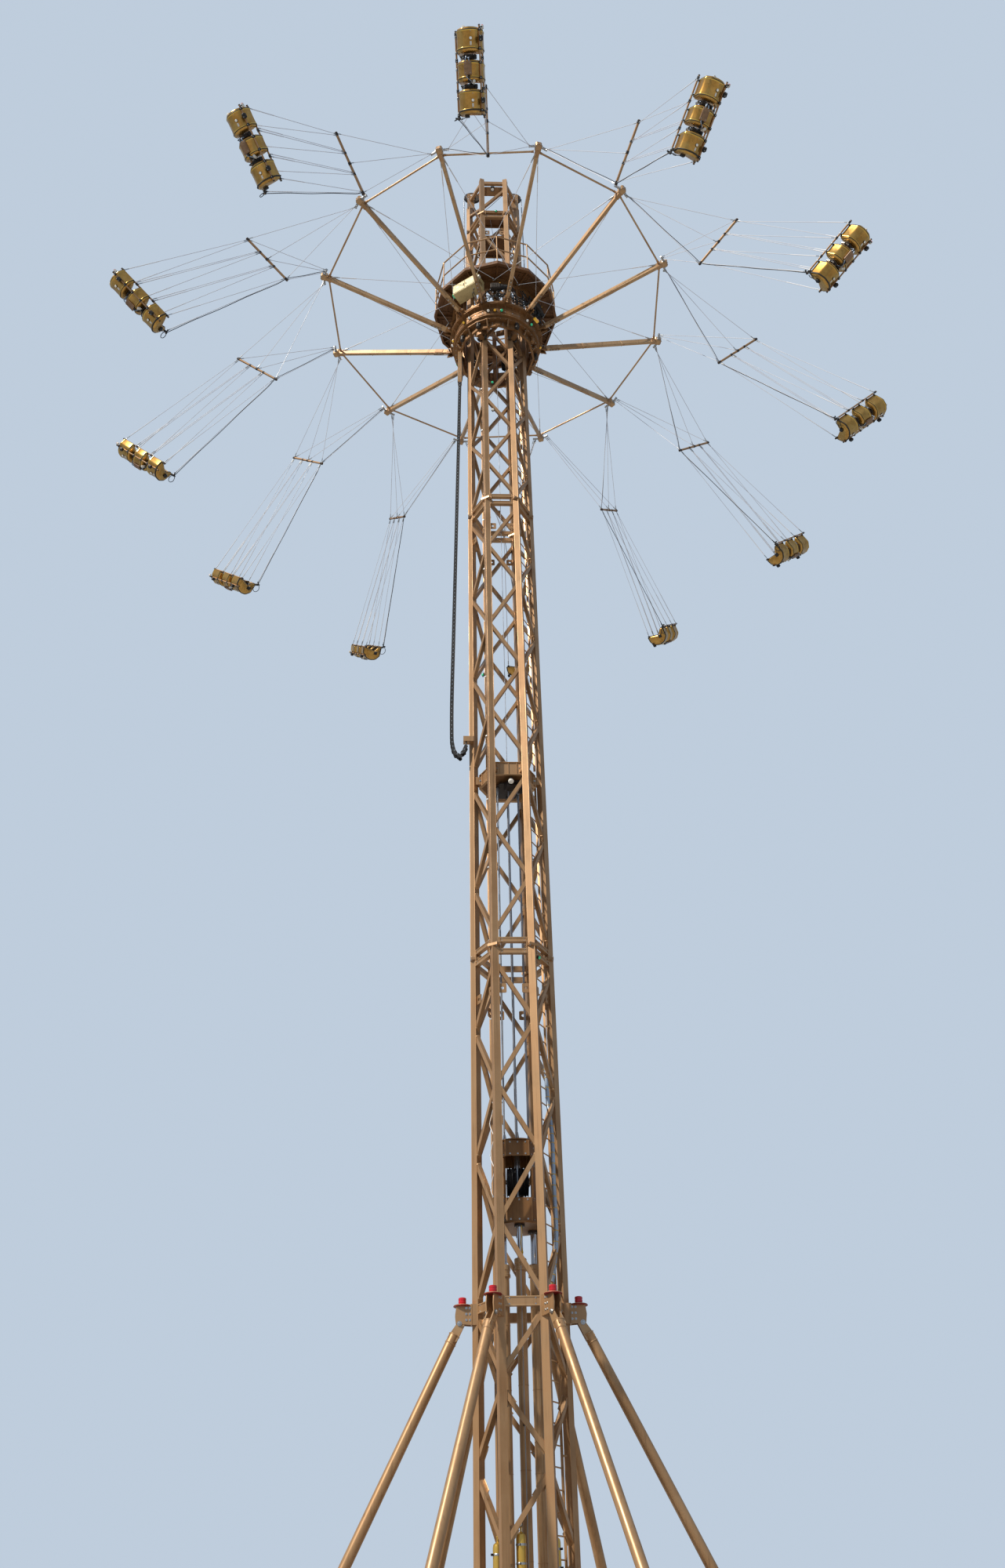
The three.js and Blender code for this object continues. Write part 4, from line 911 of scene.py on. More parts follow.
block = Piece("hoist_block_sheaves")
disc = [(0.405, 7.201), (0.41, 7.208), (0.41, 7.225), (0.405, 7.2295), (0.12, 7.23)]
block.turned(Vector(), UP, disc, "painted_shade_bronze", 40)
crown = [(0.355, 8.531), (0.36, 8.538), (0.36, 8.55), (0.34, 8.556), (0.16, 8.5595)]
block.turned(Vector(), UP, crown, "painted_shade_bronze", 40)
for i in range(6):
    axes = out, across, up = axes_at(face_angle(i))
    for radius, low, high in ((0.345, 7.23, 7.60), (0.318, 8.27, 8.53)):
        wide = 2 * radius * tan(pi / 6)
        middle = out * radius + up * ((low + high) / 2)
        block.bar(middle, (0.012, wide - 0.010, high - low), axes, "painted_shade_bronze", 0.003)
        for height in (low + 0.035, high - 0.035):
            for shift in (-0.34, 0, 0.34):
                block.bolt(out * (radius + 0.006) + across * (shift * wide) + up * height, out, 0.015)
        edge = polar(post_angle(i), radius / cos(pi / 6) - 0.006, 0)
        block.tube([edge + up * (low + 0.004), edge + up * (high - 0.004)], 0.009, "bronze", 10)
block.turned(Vector(), UP, [(0.045, 7.22), (0.045, 8.54)], "zinc", 20)
for i in range(3):
    angle = i * 2 * pi / 3
    foot = cylinder_place(i, 0)
    block.turned(foot, UP, [(0.0445, 1.2), (0.045, 1.21), (0.045, 7.19)], "chrome", 28)
    block.turned(foot, UP, [(0.075, 7.165), (0.082, 7.17), (0.082, 7.20)], "iron", 20)
    for b in range(6):
        turn = b * pi / 3
        block.bolt(foot + xyz(cos(turn), sin(turn), 0) * 0.064 + UP * 7.1665, -UP, 0.012)
    axes = out, across, up = axes_at(angle + pi / 3)
    block.bar(out * 0.300 + up * 7.88, (0.024, 0.158, 1.25), axes, "painted_shade_bronze", 0.005)
    for side in SIDES:
        block.bar(out * 0.292 + across * (side * 0.068) + up * 7.88, (0.05, 0.014, 1.24), axes, "painted_shade_bronze", 0.004)
        for height in (7.33, 7.62, 8.14, 8.43):
            block.bolt(out * 0.312 + across * (side * 0.04) + up * height, out, 0.020)
    lug = polar(angle + pi / 3, 0.36, 7.19)
    block.bar(lug, (0.06, 0.05, 0.05), axes_at(angle + pi / 3), "iron", 0.006)
    block.bolt(lug - UP * 0.025, -UP, 0.022)
for side in SIDES:
    for place in (0.050, 0.100, 0.150):
        sheave(block, xyz(side * place, 0, 7.94), RIGHT, 0.232, 0.042, "black", 0.022)
block.turned(xyz(-0.19, 0, 7.94), RIGHT, [(0.035, 0), (0.035, 0.38)], "zinc", 20)
cord_path = smooth_path([(0.02, -0.33, 7.21), (0.03, -0.36, 7.05), (0.01, -0.35, 6.9), (0.03, -0.345, 6.78)])
block.tube(cord_path, 0.006, "yellow", 8)
block.turned(xyz(0.03, -0.345, 6.74), UP, [(0.012, 0), (0.016, 0.02), (0.012, 0.045)], "yellow", 10)
block.make("block", ["hoist_block"])

# %% [markdown]
# Six falls of rope rise from the block to the mid deck. Their length changes with the block's height, so
# this piece rides on no body.

# %% Falls of rope
FALL_RADIUS, FALL_LOW, FALL_HIGH = 0.230, 8.5605, 15.55
falls = Piece("hoist_rope_falls")
for i in range(6):
    angle = face_angle(i)
    steps = [polar(angle, FALL_RADIUS, FALL_LOW + (FALL_HIGH - FALL_LOW) * n / 30) for n in range(31)]
    falls.tube(steps, 0.0115, "rope", 10)
    falls.turned(polar(angle, FALL_RADIUS, FALL_LOW), UP, [(0.03, 0), (0.03, 0.05), (0.018, 0.12), (0.0125, 0.13)],
        "zinc", 14)
    falls.turned(polar(angle, FALL_RADIUS, FALL_HIGH - 0.02), -UP,
        [(0.03, 0), (0.03, 0.06), (0.018, 0.14), (0.0125, 0.15)], "zinc", 14)
falls.plate([p.xy for p in hexagon(0.30)], 0.029, UP * 15.555, RIGHT, BACK, "iron")
falls_object = falls.make(None, ["hoist_falls"])
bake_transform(falls_object)

# %% [markdown]
# ## Mid deck
# Half way up, a six-sided frame of deep channels holds the upper anchor of the rope and two sheaves that
# turn it upward. From below the frame's channels, its drive motor and a bright work lamp show.

# %% Mid deck
deck = Piece("pulley_deck_frame")
FRAME_RADIUS, DECK_MIDDLE = 0.535, 15.75
inner_ring, outer_ring = hexagon(0.21), hexagon(0.51)
for n in range(6):
    m = (n + 1) % 6
    quad = [inner_ring[n], outer_ring[n], outer_ring[m], inner_ring[m]]
    points = [p + UP * 15.602 for p in quad] + [p + UP * 15.638 for p in quad]
    deck.add(points, [(3, 2, 1, 0), (4, 5, 6, 7), (0, 1, 5, 4), (1, 2, 6, 5), (2, 3, 7, 6), (3, 0, 4, 7)], "painted_shade_bronze")
for i in range(6):
    a, b = polar(post_angle(i), FRAME_RADIUS, 0), polar(post_angle(i + 1), FRAME_RADIUS, 0)
    axes = out, across, up = axes_at(face_angle(i))
    deck.beam(a + UP * DECK_MIDDLE, b + UP * DECK_MIDDLE, UP, 0.296, 0.010, "bronze", 0.002)
    for height in (15.607, 15.893):
        deck.beam(a + UP * height, b + UP * height, UP, 0.014, 0.058, "painted_highlight_bronze", 0.004)
    for side in (-1, 0, 1):
        rib = out * (FRAME_RADIUS * 0.866 + 0.014) + across * (side * 0.16) + up * DECK_MIDDLE
        deck.bar(rib, (0.02, 0.010, 0.27), axes, "painted_highlight_bronze", 0.002)
    axes = out, across, up = axes_at(post_angle(i))
    deck.bar(out * 0.534 + up * DECK_MIDDLE, (0.07, 0.108, 0.178), axes, "bronze", 0.006)
    for side in SIDES:
        deck.bolt(out * 0.53 + across * (side * 0.054) + up * DECK_MIDDLE, across * side, 0.022)
for side in SIDES:
    hub = xyz(side * 0.1967, 0, 16.05)
    sheave(deck, hub, BACK, 0.150, 0.078, "iron", 0.02)
    for face in SIDES:
        cheek = [(-0.078, 15.63), (0.078, 15.63), (0.06, 16.0), (0.03, 16.068), (-0.03, 16.068), (-0.06, 16.0)]
        deck.plate(cheek, 0.014, xyz(hub.x, face * 0.060, 0), RIGHT, UP, "bronze")
    rope = [xyz(side * 0.3467, 0, 16.05 + (HEAD_SHEAVE - 16.05) * n / 20) for n in range(21)]
    deck.tube(rope, 0.013, "rope", 10)
deck.make("tower", ["pulley_deck"])

gear = Piece("deck_motor_and_lamp")
motor_axis = xyz(0.94, 0.34, 0).normalized()
motor_middle = xyz(0.12, -0.24, 15.46)
motor = [(0.05, -0.19), (0.085, -0.185), (0.09, -0.17), (0.09, 0.05), (0.075, 0.055), (0.075, 0.09), (0.088, 0.095),
         (0.088, 0.16), (0.06, 0.168)]
gear.turned(motor_middle, motor_axis, motor, "iron", 24)
for n in range(9):
    gear.turned(motor_middle + motor_axis * (-0.15 + n * 0.021), motor_axis, [(0.096, 0), (0.096, 0.005)], "iron",
        24)
gear.bar(xyz(0.12, -0.24, 15.575), (0.22, 0.12, 0.05), LEVEL, "iron")
gear.lamp(xyz(0.05, -0.42, 15.50), xyz(-0.1, -0.55, -0.83).normalized(), 0.055, "lamp_white")
gear.bar(xyz(0.05, -0.40, 15.555), (0.05, 0.04, 0.09), LEVEL, "iron")
gear.make("tower")

# %% [markdown]
# ## What climbs inside and beside the tower
# A ladder stands inside the right-hand face, a bundle of dark hoses runs the tower's whole height, and a
# short thick hose with a yellow wrap joins the lift gear. A ladder is two strips with a rung every 28 cm.

# %% Ladder
ladder = Piece("tower_ladder")
axes = out, across, up = axes_at(face_angle(2))
LADDER_RADIUS = 0.505
for low, high in ((0.9, 15.55), (15.95, 33.9)):
    for side in SIDES:
        centre = out * LADDER_RADIUS + across * (side * 0.19) + up * ((low + high) / 2)
        ladder.bar(centre, (0.045, 0.010, high - low), axes, "bronze", 0.002)
    rungs = int((high - low) / 0.28)
    for n in range(rungs):
        height = low + 0.14 + n * 0.28
        ends = [out * LADDER_RADIUS + across * (side * 0.188) + up * height for side in SIDES]
        ladder.tube(ends, 0.011, "painted_highlight_bronze", 8)
    for n in range(int((high - low) / 2.2)):
        height = low + 0.9 + n * 2.2
        for side in SIDES:
            foot = out * LADDER_RADIUS + across * (side * 0.197) + up * height
            ladder.beam(foot, foot + out * 0.055 + across * (side * 0.05), UP, 0.03, 0.008, "bronze", 0.002)
ladder.make("tower")

# %% [markdown]
# The hoses lie side by side on small brackets. They never run quite straight, so each wanders a little, by
# a slow sine with its own phase. The random numbers have a fixed seed, so every run gives the same bundle.

# %% Hose bundle
rnd = random.Random(7)
bundle = Piece("hose_bundle")
angle = radians(-38)
axes = out, across, up = axes_at(angle)
for n, radius in enumerate((0.017, 0.012, 0.015, 0.010, 0.013)):
    offset = (n - 2) * 0.036
    phase = rnd.uniform(0, 6.28)
    path = []
    for step in range(100):
        height = 1.0 + step * 0.33
        wave = 0.006 * sin(height * 1.9 + phase)
        path.append(out * (0.535 + 0.5 * wave) + across * (offset + wave) + up * height)
    bundle.tube(path, radius, "black", 10)
for n in range(22):
    height = 1.6 + n * 1.5
    bundle.bar(out * 0.556 + up * height, (0.012, 0.21, 0.03), axes, "zinc", 0.002)
    bundle.bar(out * 0.516 + up * height, (0.006, 0.20, 0.024), axes, "zinc", 0.001)
bundle.make("tower")

# %% Thick hose with its yellow wrap
thick = Piece("lift_hose")
axes = out, across, up = axes_at(face_angle(2))
route = smooth_path([out * 0.40 + across * 0.10 + up * 5.9, out * 0.47 + across * 0.14 + up * 6.3,
    out * 0.60 + across * 0.10 + up * 7.0, out * 0.615 + across * 0.06 + up * 7.8,
    out * 0.60 + across * 0.10 + up * 8.6, out * 0.53 + across * 0.15 + up * 9.2,
    out * 0.50 + across * 0.17 + up * 9.9], 14)
thick.tube(route, 0.034, "silver_hose", 18)
for n in range(3, len(route) - 2, 3):
    tangent = unit(route[n + 1] - route[n - 1])
    thick.tube(ring(route[n], unit(tangent + across * 0.25), 0.0355, 18), 0.0055, "yellow", 6, True)
for end, toward in ((route[0], route[1]), (route[-1], route[-2])):
    axis = unit(toward - end)
    thick.turned(end, axis, [(0.028, -0.05), (0.041, -0.045), (0.041, 0.06), (0.036, 0.07)], "zinc", 18)
thick.make("tower")

# %% [markdown]
# White lights hang in shallow loops up the left face of the tower. Small green and white lamps stand on
# several faces.

# %% Light strings
strings = Piece("light_strings")
for low, high in ((7.6, 9.2), (31.4, 34.0)):
    axes = out, across, up = axes_at(face_angle(0))
    count = int((high - low) / 0.26)
    for n in range(count):
        a = low + n * 0.26
        loop = []
        for s in range(9):
            t = s / 8
            bow = sin(t * pi) * 0.055
            loop.append(out * 0.580 + across * (0.17 + (bow if n % 2 else -bow)) + up * (a + t * 0.26))
        strings.tube(loop, 0.0055, "sleeve", 6)
        strings.lamp(loop[4], out, 0.011, "lamp_white")
strings.make("tower")

lamps = Piece("tower_lamps")
spots = [(1, 27.05, -0.3, "lamp_green"), (1, 26.05, -0.3, "lamp_white"), (2, 11.72, -0.35, "lamp_green"),
    (1, 34.3, 0.1, "lamp_green"), (2, 20.6, 0.2, "lamp_white"), (0, 18.1, 0.3, "lamp_green"),
    (4, 23.9, 0.0, "lamp_green"), (5, 29.0, 0.1, "lamp_white"), (3, 14.2, 0.1, "lamp_green"),
    (3, 25.4, 0.0, "lamp_white")]
for face, height, shift, paint in spots:
    axes = out, across, up = axes_at(face_angle(face))
    place = out * (0.60 + 0.02) + across * (shift * 0.5) + up * height
    lamps.bar(place - out * 0.012, (0.02, 0.07, 0.07), axes, "iron", 0.004)
    lamps.lamp(place, unit(out - up * 0.5), 0.030, paint)
    lamps.beam(place - out * 0.012, place - out * 0.06, up, 0.02, 0.02, "iron")
lamps.make("tower")

# %% [markdown]
# ## Tower head
# Two sheaves stand over the short side posts and turn the ropes down to the carriage. The roof plate under
# them carries a white lamp on its underside, and two thin sheets in a darker bronze, which is painted shade, lie in
# the bays below.

# %% Head fittings
head = Piece("head_fittings")
for side in SIDES:
    hub = xyz(side * 0.580, 0, HEAD_SHEAVE)
    axis = BACK
    rim = [(0.205, -0.036), (0.2225, -0.0365), (0.2235, -0.030), (0.2205, -0.012), (0.2205, 0.012), (0.2235, 0.030),
           (0.2225, 0.0365), (0.205, 0.036)]
    head.turned(hub, axis, rim, "iron", 48)
    for face in SIDES:
        head.turned(hub + axis * face * 0.0362, axis * face, [(0.075, 0), (0.075, 0.010), (0.05, 0.016)], "painted_shade_bronze",
            24)
        head.turned(hub + axis * face * 0.080, axis * face, [(0.042, 0), (0.042, 0.012), (0.03, 0.018)], "zinc", 20)
        for n in range(6):
            turn = n * pi / 3
            spoke_out = xyz(cos(turn), 0, sin(turn))
            start, end = hub + spoke_out * 0.07, hub + spoke_out * 0.205
            head.beam(start + axis * face * 0.0365, end + axis * face * 0.0365, axis, 0.006, 0.022, "painted_shade_bronze", 0.001)
        ear_middle = xyz(side * 0.620, face * 0.0715, 35.69)
        for height in (-0.27, -0.20, 0.1, 0.2):
            head.bolt(ear_middle + UP * height + xyz(0.06 * side, 0, 0), axis * face, 0.018)
for level, back in ((33.26, 0.10), (34.21, -0.20)):
    sheet = [(-0.31, -0.545), (0.31, -0.545), (0.44, -0.32), (0.44, back), (-0.44, back), (-0.44, -0.32)]
    head.plate(sheet, 0.010, UP * level, RIGHT, BACK, "deck")
    for y in (-0.53, back - 0.02):
        half = 0.43 if y > -0.4 else 0.30
        head.beam(xyz(-half, y, level - 0.03), xyz(half, y, level - 0.03), UP, 0.05, 0.04, "painted_shade_bronze")
    for side in SIDES:
        head.beam(xyz(side * 0.44, -0.36, level - 0.03), xyz(side * 0.44, back, level - 0.03), UP, 0.05, 0.03,
            "painted_shade_bronze")
head.lamp(xyz(-0.02, -0.47, 35.628), -UP, 0.045, "lamp_white")
head.bar(xyz(-0.02, -0.47, 35.634), (0.15, 0.10, 0.012), axes_at(0), "iron", 0.003)
for x in (-0.2, 0.2):
    head.beam(xyz(x, -0.52, 35.625), xyz(x, -0.26, 35.625), UP, 0.03, 0.02, "painted_shade_bronze")
for a, b in (((-0.44, -0.25, 34.6), (0.30, -0.40, 35.5)), ((0.44, -0.25, 34.6), (-0.32, 0.36, 35.45)),
             ((-0.05, -0.50, 34.45), (0.05, 0.45, 35.6))):
    head.tube([Vector(a), (Vector(a) + Vector(b)) / 2 - UP * 0.02, Vector(b)], 0.006, "black", 8)
head.tube([xyz(0.0, 0.0, 15.95), xyz(0.0, 0.0, 34.0)], 0.006, "rope", 8)
head.turned(xyz(0.0, 0.0, 34.0), UP, [(0.016, -0.05), (0.022, -0.04), (0.022, 0.03), (0.012, 0.045)], "zinc", 16)
for turn in (0.3, 2.4, 4.5):
    reach = xyz(cos(turn), sin(turn), 0) * 0.57
    head.tube([xyz(0, 0, 34.03), xyz(0, 0, 34.05) + reach + UP * 0.05], 0.0045, "rope", 8)
head.make("tower")

# %% [markdown]
# ## Ropes to the carriage and the energy chain
# Both get longer as the carriage goes down, so neither rides on a body. The chain is
# a row of links: two side plates with a rounded end, and a cross bar on each face, one link every 11 cm.

# %% Carriage ropes
ROPE_ASIDE, ROPE_LOW = 0.8133, 31.1205


def carriage_rope(name, side):
    rope = Piece("lift_rope_" + name)
    foot = xyz(side * ROPE_ASIDE, 0, ROPE_LOW)
    path = [foot + UP * ((HEAD_SHEAVE - ROPE_LOW) * n / 24) for n in range(25)]
    rope.tube(path, 0.013, "rope", 12)
    rope.turned(foot, UP, [(0.026, 0), (0.026, 0.16), (0.019, 0.20), (0.0145, 0.23)], "zinc", 16)
    rope.turned(foot + UP * 0.05, UP, collar(0.029, 0.031, 0.005, 0.035), "iron", 6)
    thing = rope.make(None, ["carriage_rope_" + name])
    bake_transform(thing)


carriage_rope("left", -1)
carriage_rope("right", 1)

# %% Energy chain
CHAIN_LINE = [(0.930, 27.6395), (0.960, 25.6), (1.010, 22.5), (1.060, 19.5), (1.090, 17.8), (1.092, 16.9),
              (1.080, 16.6), (1.035, 16.4), (0.950, 16.31), (0.865, 16.39), (0.815, 16.52), (0.802, 16.6405)]
rounded = smooth_path([xyz(-r, -0.096, z) for r, z in CHAIN_LINE], 12)


def walk(path, step):
    """Points along a path, one every step, each with its direction."""
    found, carried = [], 0.0
    for a, b in zip(path, path[1:]):
        length = (b - a).length
        if length < 1e-6:
            continue
        direction = (b - a) / length
        while carried <= length:
            found.append((a + direction * carried, direction))
            carried += step
        carried -= length
    return found


chain = Piece("energy_chain_links")
side_axis = BACK
LINK = 0.105
for place, along in walk(rounded, LINK)[:-1]:
    thick_axis = side_axis.cross(along).normalized()
    middle = place + along * (LINK / 2)
    half = LINK * 0.5
    outline = [(-half - 0.012, -0.012), (-half, -0.030), (half - 0.01, -0.037), (half + 0.008, -0.02),
        (half + 0.008, 0.02), (half - 0.01, 0.037), (-half, 0.030), (-half - 0.012, 0.012)]
    for side in SIDES:
        chain.plate(outline, 0.010, middle + side_axis * (side * 0.053), along, thick_axis, "black")
        chain.turned(place + side_axis * (side * 0.0575), side_axis * side, [(0.012, 0), (0.012, 0.0022)], "zinc",
            10)
    # Cross bars on the -x face, which the sun lights, are light grey as a painted highlight. Those on the +x face
    # are black.
    for face, paint, long in ((1, "black", 0.030), (-1, "link", 0.082)):
        chain.bar(middle + thick_axis * (face * 0.034), (long, 0.104, 0.008), (along, side_axis, thick_axis),
            paint, 0.002)
for n, (offset, radius) in enumerate(((-0.032, 0.014), (-0.004, 0.011), (0.022, 0.013), (0.042, 0.008))):
    chain.tube([p + side_axis * offset for p in rounded[::3]] + [rounded[-1] + side_axis * offset], radius,
        "black", 8)
chain_object = chain.make(None, ["energy_chain"])
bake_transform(chain_object)

# %% [markdown]
# ## Carriage and rotor
# The carriage is the sleeve that the ropes lift. The rotor turns on it and carries the arms. Their packed
# nodes have the plates, rings, forks and crown, so they take paint and get motors, bolts and lamps.

# %% Carriage fittings
# The frame and the ring take the darker bronze copy, and the platform takes the deck's paint. Both are painted
# shade.
for node, paint in (("carriage_frame", "painted_shade_bronze"), ("slew_ring", "painted_shade_bronze"), ("work_platform", "deck"),
                    ("control_cabinet", "beige")):
    dress(node, paint)

fittings = Piece("carriage_fittings")
for n, azimuth in enumerate((136, 151, 166, 196, 211, 226, 256, 284)):
    axes = out, across, up = axes_at(radians(azimuth))
    foot = out * 0.976 + up * 29.60
    case = [(0.03, -0.02), (0.050, -0.012), (0.062, 0.0), (0.062, 0.02)]
    case += [(0.056 if s % 2 else 0.066, 0.03 + 0.018 * s) for s in range(15)]
    case += [(0.062, 0.31), (0.074, 0.315), (0.074, 0.34), (0.054, 0.35), (0.054, 0.66)]
    fittings.turned(foot, up, case, "iron", 20)
    fittings.bar(foot + out * 0.062 + up * 0.18, (0.03, 0.08, 0.08), axes, "black", 0.006)
    fittings.bar(foot + up * 0.50, (0.13, 0.15, 0.11), axes, "iron", 0.010)
    lead = [foot + up * 0.02, foot - up * 0.07, foot - up * 0.13 - across * 0.06,
        foot - up * 0.20 - across * (0.10 + 0.01 * n), foot - up * 0.5 - across * 0.13]
    fittings.tube(smooth_path(lead, 5), 0.010, "black", 8)
for azimuth in (-61, -29, 29, 62, 91, 120, 151, 209, 240):
    axes = out, across, up = axes_at(radians(azimuth))
    foot = out * 0.992 + up * 28.985
    drum = [(0.052, 0), (0.052, 0.03), (0.046, 0.035), (0.046, 0.10), (0.055, 0.105), (0.055, 0.16), (0.040, 0.17),
        (0.020, 0.18)]
    fittings.turned(foot, -up, drum, "iron" if azimuth % 2 else "painted_shade_bronze", 20)
    fittings.bar(foot - up * 0.07 + across * 0.055, (0.05, 0.03, 0.05), axes, "black", 0.005)
for n in range(12):
    axes = out, across, up = axes_at((n + 0.5) * ARM_STEP)
    for side in SIDES:
        for radius, height in ((1.00, 28.945), (0.945, 28.86)):
            fittings.bolt(out * radius + across * (side * 0.012) + up * height, across * side, 0.014)
    fittings.beam(out * 0.957 + up * 28.815, out * 1.035 + up * 28.965, across, 0.034, 0.006, "painted_highlight_bronze", 0.002)
for n in range(48):
    axes = out, across, up = axes_at((n + 0.5) * pi / 24)
    fittings.bolt(out * 1.032 + up * 28.98, -up, 0.010)
for i in range(6):
    axes = out, across, up = axes_at(face_angle(i))
    for height in (28.85, 28.93, 31.02, 31.08):
        for side in SIDES:
            fittings.bolt(out * (0.93 if height < 30 else 0.958) + across * (side * 0.13) + up * height, out, 0.014)
    fittings.bar(out * 0.962 + up * 29.9, (0.006, 0.06, 0.9), axes, "painted_highlight_bronze", 0.002)
# Guide rollers in the shoes that run on four posts
for i in (1, 2, 4, 5):
    axes = out, across, up = axes_at(post_angle(i))
    for height, flip in ((28.70, 1), (31.05, -1)):
        for side in SIDES:
            square = unit(out + across * side)
            level_axis = up.cross(square)
            hub = out * TOWER_RADIUS + square * (POST / 2 + 0.052) + up * height
            wheel = [(0.020, -0.024), (0.048, -0.022), (0.051, -0.016), (0.051, 0.016), (0.048, 0.022),
                (0.020, 0.024)]
            fittings.turned(hub, level_axis, wheel, "iron", 24)
            for end in (-1, 1):
                fittings.bolt(hub + level_axis * (end * 0.040), level_axis * end, 0.018)
                fork = [(-0.030, -0.024), (0.024, -0.024), (0.050, 0.02), (0.075, 0.095), (-0.01, 0.095)]
                fittings.plate(fork, 0.010, hub + level_axis * (end * 0.032), square, up * flip, "painted_shade_bronze")
# The chain's hanger: angle edges, bolts and the cable clamp at its end
for side in SIDES:
    fittings.bar(xyz(-0.93, -0.096 + side * 0.058, 28.24), (0.096, 0.008, 1.16), LEVEL, "painted_highlight_bronze", 0.002)
for n in range(9):
    fittings.bolt(xyz(-0.93, -0.160, 27.75 + 0.125 * n), xyz(0, -1, 0), 0.012)
# The strip on the hanger's sunlit outer face is light grey, a painted highlight.
fittings.bar(xyz(-0.982, -0.096, 27.95), (0.010, 0.10, 0.42), LEVEL, "link", 0.003)
for n in range(4):
    lead = [(-0.93, -0.06 - 0.024 * n, 27.66), (-0.875, -0.06 - 0.024 * n, 27.85),
        (-0.868, -0.05 - 0.03 * n, 28.3), (-0.872, -0.03 - 0.03 * n, 28.78)]
    fittings.tube(smooth_path(lead, 6), 0.010, "black", 8)
fittings.make("carriage")

# %% Rotor fittings
rotor = Piece("rotor_fittings")
for low, high, outer in ((29.055, 29.085, 1.099), (29.115, 29.130, 1.096), (29.25, 29.27, 1.097),
        (29.43, 29.465, 1.187)):
    for n in range(72):
        axes = out, across, up = axes_at((n + 0.5) * pi / 36)
        radius = outer * cos(pi / 36) - 0.006
        wide = 2 * outer * sin(pi / 72) * 1.01
        rotor.bar(out * radius + up * ((low + high) / 2), (0.014, wide, high - low), axes, "painted_shade_bronze", 0.003)
for n in range(36):
    axes = out, across, up = axes_at(n * pi / 18)
    rotor.bolt(out * 1.084 + up * 29.19, out, 0.015)
    rotor.beam(out * 1.088 + up * 29.30, out * 1.165 + up * 29.398, across, 0.010, 0.012, "painted_shade_bronze", 0.002)
    rotor.bolt(out * 1.135 + up * 29.48, up, 0.018)
LAMPS = ((-12, "white"), (-3.6, "yellow"), (5, "green"), (-38.7, "white"), (-48.6, "yellow"),
         (-80, "yellow"), (-87, "white"), (42, "white"), (50, "green"), (88, "yellow"), (108, "white"),
         (116, "yellow"), (140, "white"), (165, "green"), (173, "white"), (206, "yellow"), (214, "white"),
         (242, "green"))
for azimuth, colour in LAMPS:
    axes = out, across, up = axes_at(radians(azimuth))
    seat = out * 1.112 + up * 29.20
    rotor.bar(seat - out * 0.010, (0.03, 0.085, 0.06), axes, "painted_shade_bronze", 0.006)
    rotor.lamp(seat + out * 0.004 - up * 0.006, unit(out * 0.8 - up), 0.034, "lamp_" + colour)
axes = out, across, up = axes_at(radians(51))
rotor.bar(out * 1.255 + up * 29.27, (0.07, 0.15, 0.06), axes, "lamp_yellow", 0.008)
rotor.bar(out * 1.255 + across * 0.05 + up * 29.305, (0.074, 0.05, 0.012), axes, "lamp_red", 0.003)
rotor.bar(out * 1.17 + up * 29.29, (0.12, 0.03, 0.012), axes, "iron", 0.002)
for k in range(12):
    axes = out, across, up = axes_at(FIRST_ARM + k * ARM_STEP)
    for side in SIDES:
        cheek = [(-0.088, -0.100), (0.100, -0.100), (0.043, 0.080), (-0.033, 0.080)]
        rotor.plate(cheek, 0.006, out * 1.232 + across * (side * 0.0665) + up * 29.52, out, up, "painted_shade_bronze")
        for at in (-0.060, 0.040):
            toe = [(0.0, -0.040), (0.070, -0.040), (0.0, 0.075)]
            rotor.plate(toe, 0.012, out * (1.202 + at) + across * (side * 0.069) + up * 29.52, across * side, up,
                "painted_shade_bronze")
        rotor.bolt(out * 1.242 + across * (side * 0.0695) + up * 29.54, across * side, 0.034)
    axes = out, across, up = axes_at(FIRST_ARM + (k + 0.5) * ARM_STEP)
    for height in (29.487, 30.26):
        rotor.bar(out * 1.10 + up * height, (0.12, 0.12, 0.012), axes, "painted_shade_bronze", 0.003)
        for a in (-0.045, 0.045):
            for b in (-0.045, 0.045):
                rotor.bolt(out * (1.10 + a) + across * b + up * (height + 0.006), up, 0.010)
    rotor.turned(out * 1.185 - across * 0.026 + up * 30.315, across, [(0.014, 0), (0.014, 0.052)], "zinc", 12)

# A hydraulic unit and its hoses hang between the rotor's posts, under the deck
for azimuth, wide, deep, tall in ((-2.0, 0.26, 0.14, 0.20), (56.5, 0.30, 0.15, 0.22)):
    axes = out, across, up = axes_at(radians(azimuth))
    middle = out * (1.145 + deep / 2) + up * 29.98
    rotor.bar(middle, (deep, wide, tall), axes, "iron", 0.018)
    for n in range(7):
        rotor.bar(middle + out * (deep / 2) + across * ((n - 3) * wide / 8), (0.016, 0.012, tall * 0.8), axes,
            "iron", 0.003)
    rotor.turned(middle + across * (wide / 2), across, [(0.07, 0), (0.07, 0.05), (0.055, 0.06), (0.055, 0.16),
        (0.03, 0.17)], "black", 20)
    rotor.lamp(middle + out * (deep / 2) + across * (wide * 0.42) + up * (tall * 0.38), out, 0.014, "lamp_yellow")
rnd = random.Random(21)
for n in range(7):
    level = 29.64 + 0.03 * n
    radius = 1.158 + 0.012 * (n % 3)
    phase = rnd.uniform(0, 6)
    first, last = -14 + 3 * n, 84 - 4 * (n % 3)
    path = []
    for s in range(36):
        azimuth = radians(first + (last - first) * s / 35)
        path.append(polar(azimuth, radius + 0.012 * sin(7 * azimuth + phase),
            level + 0.022 * sin(5 * azimuth + 2 * phase)))
    rotor.tube(path, 0.013 if n % 2 else 0.010, "black", 8)
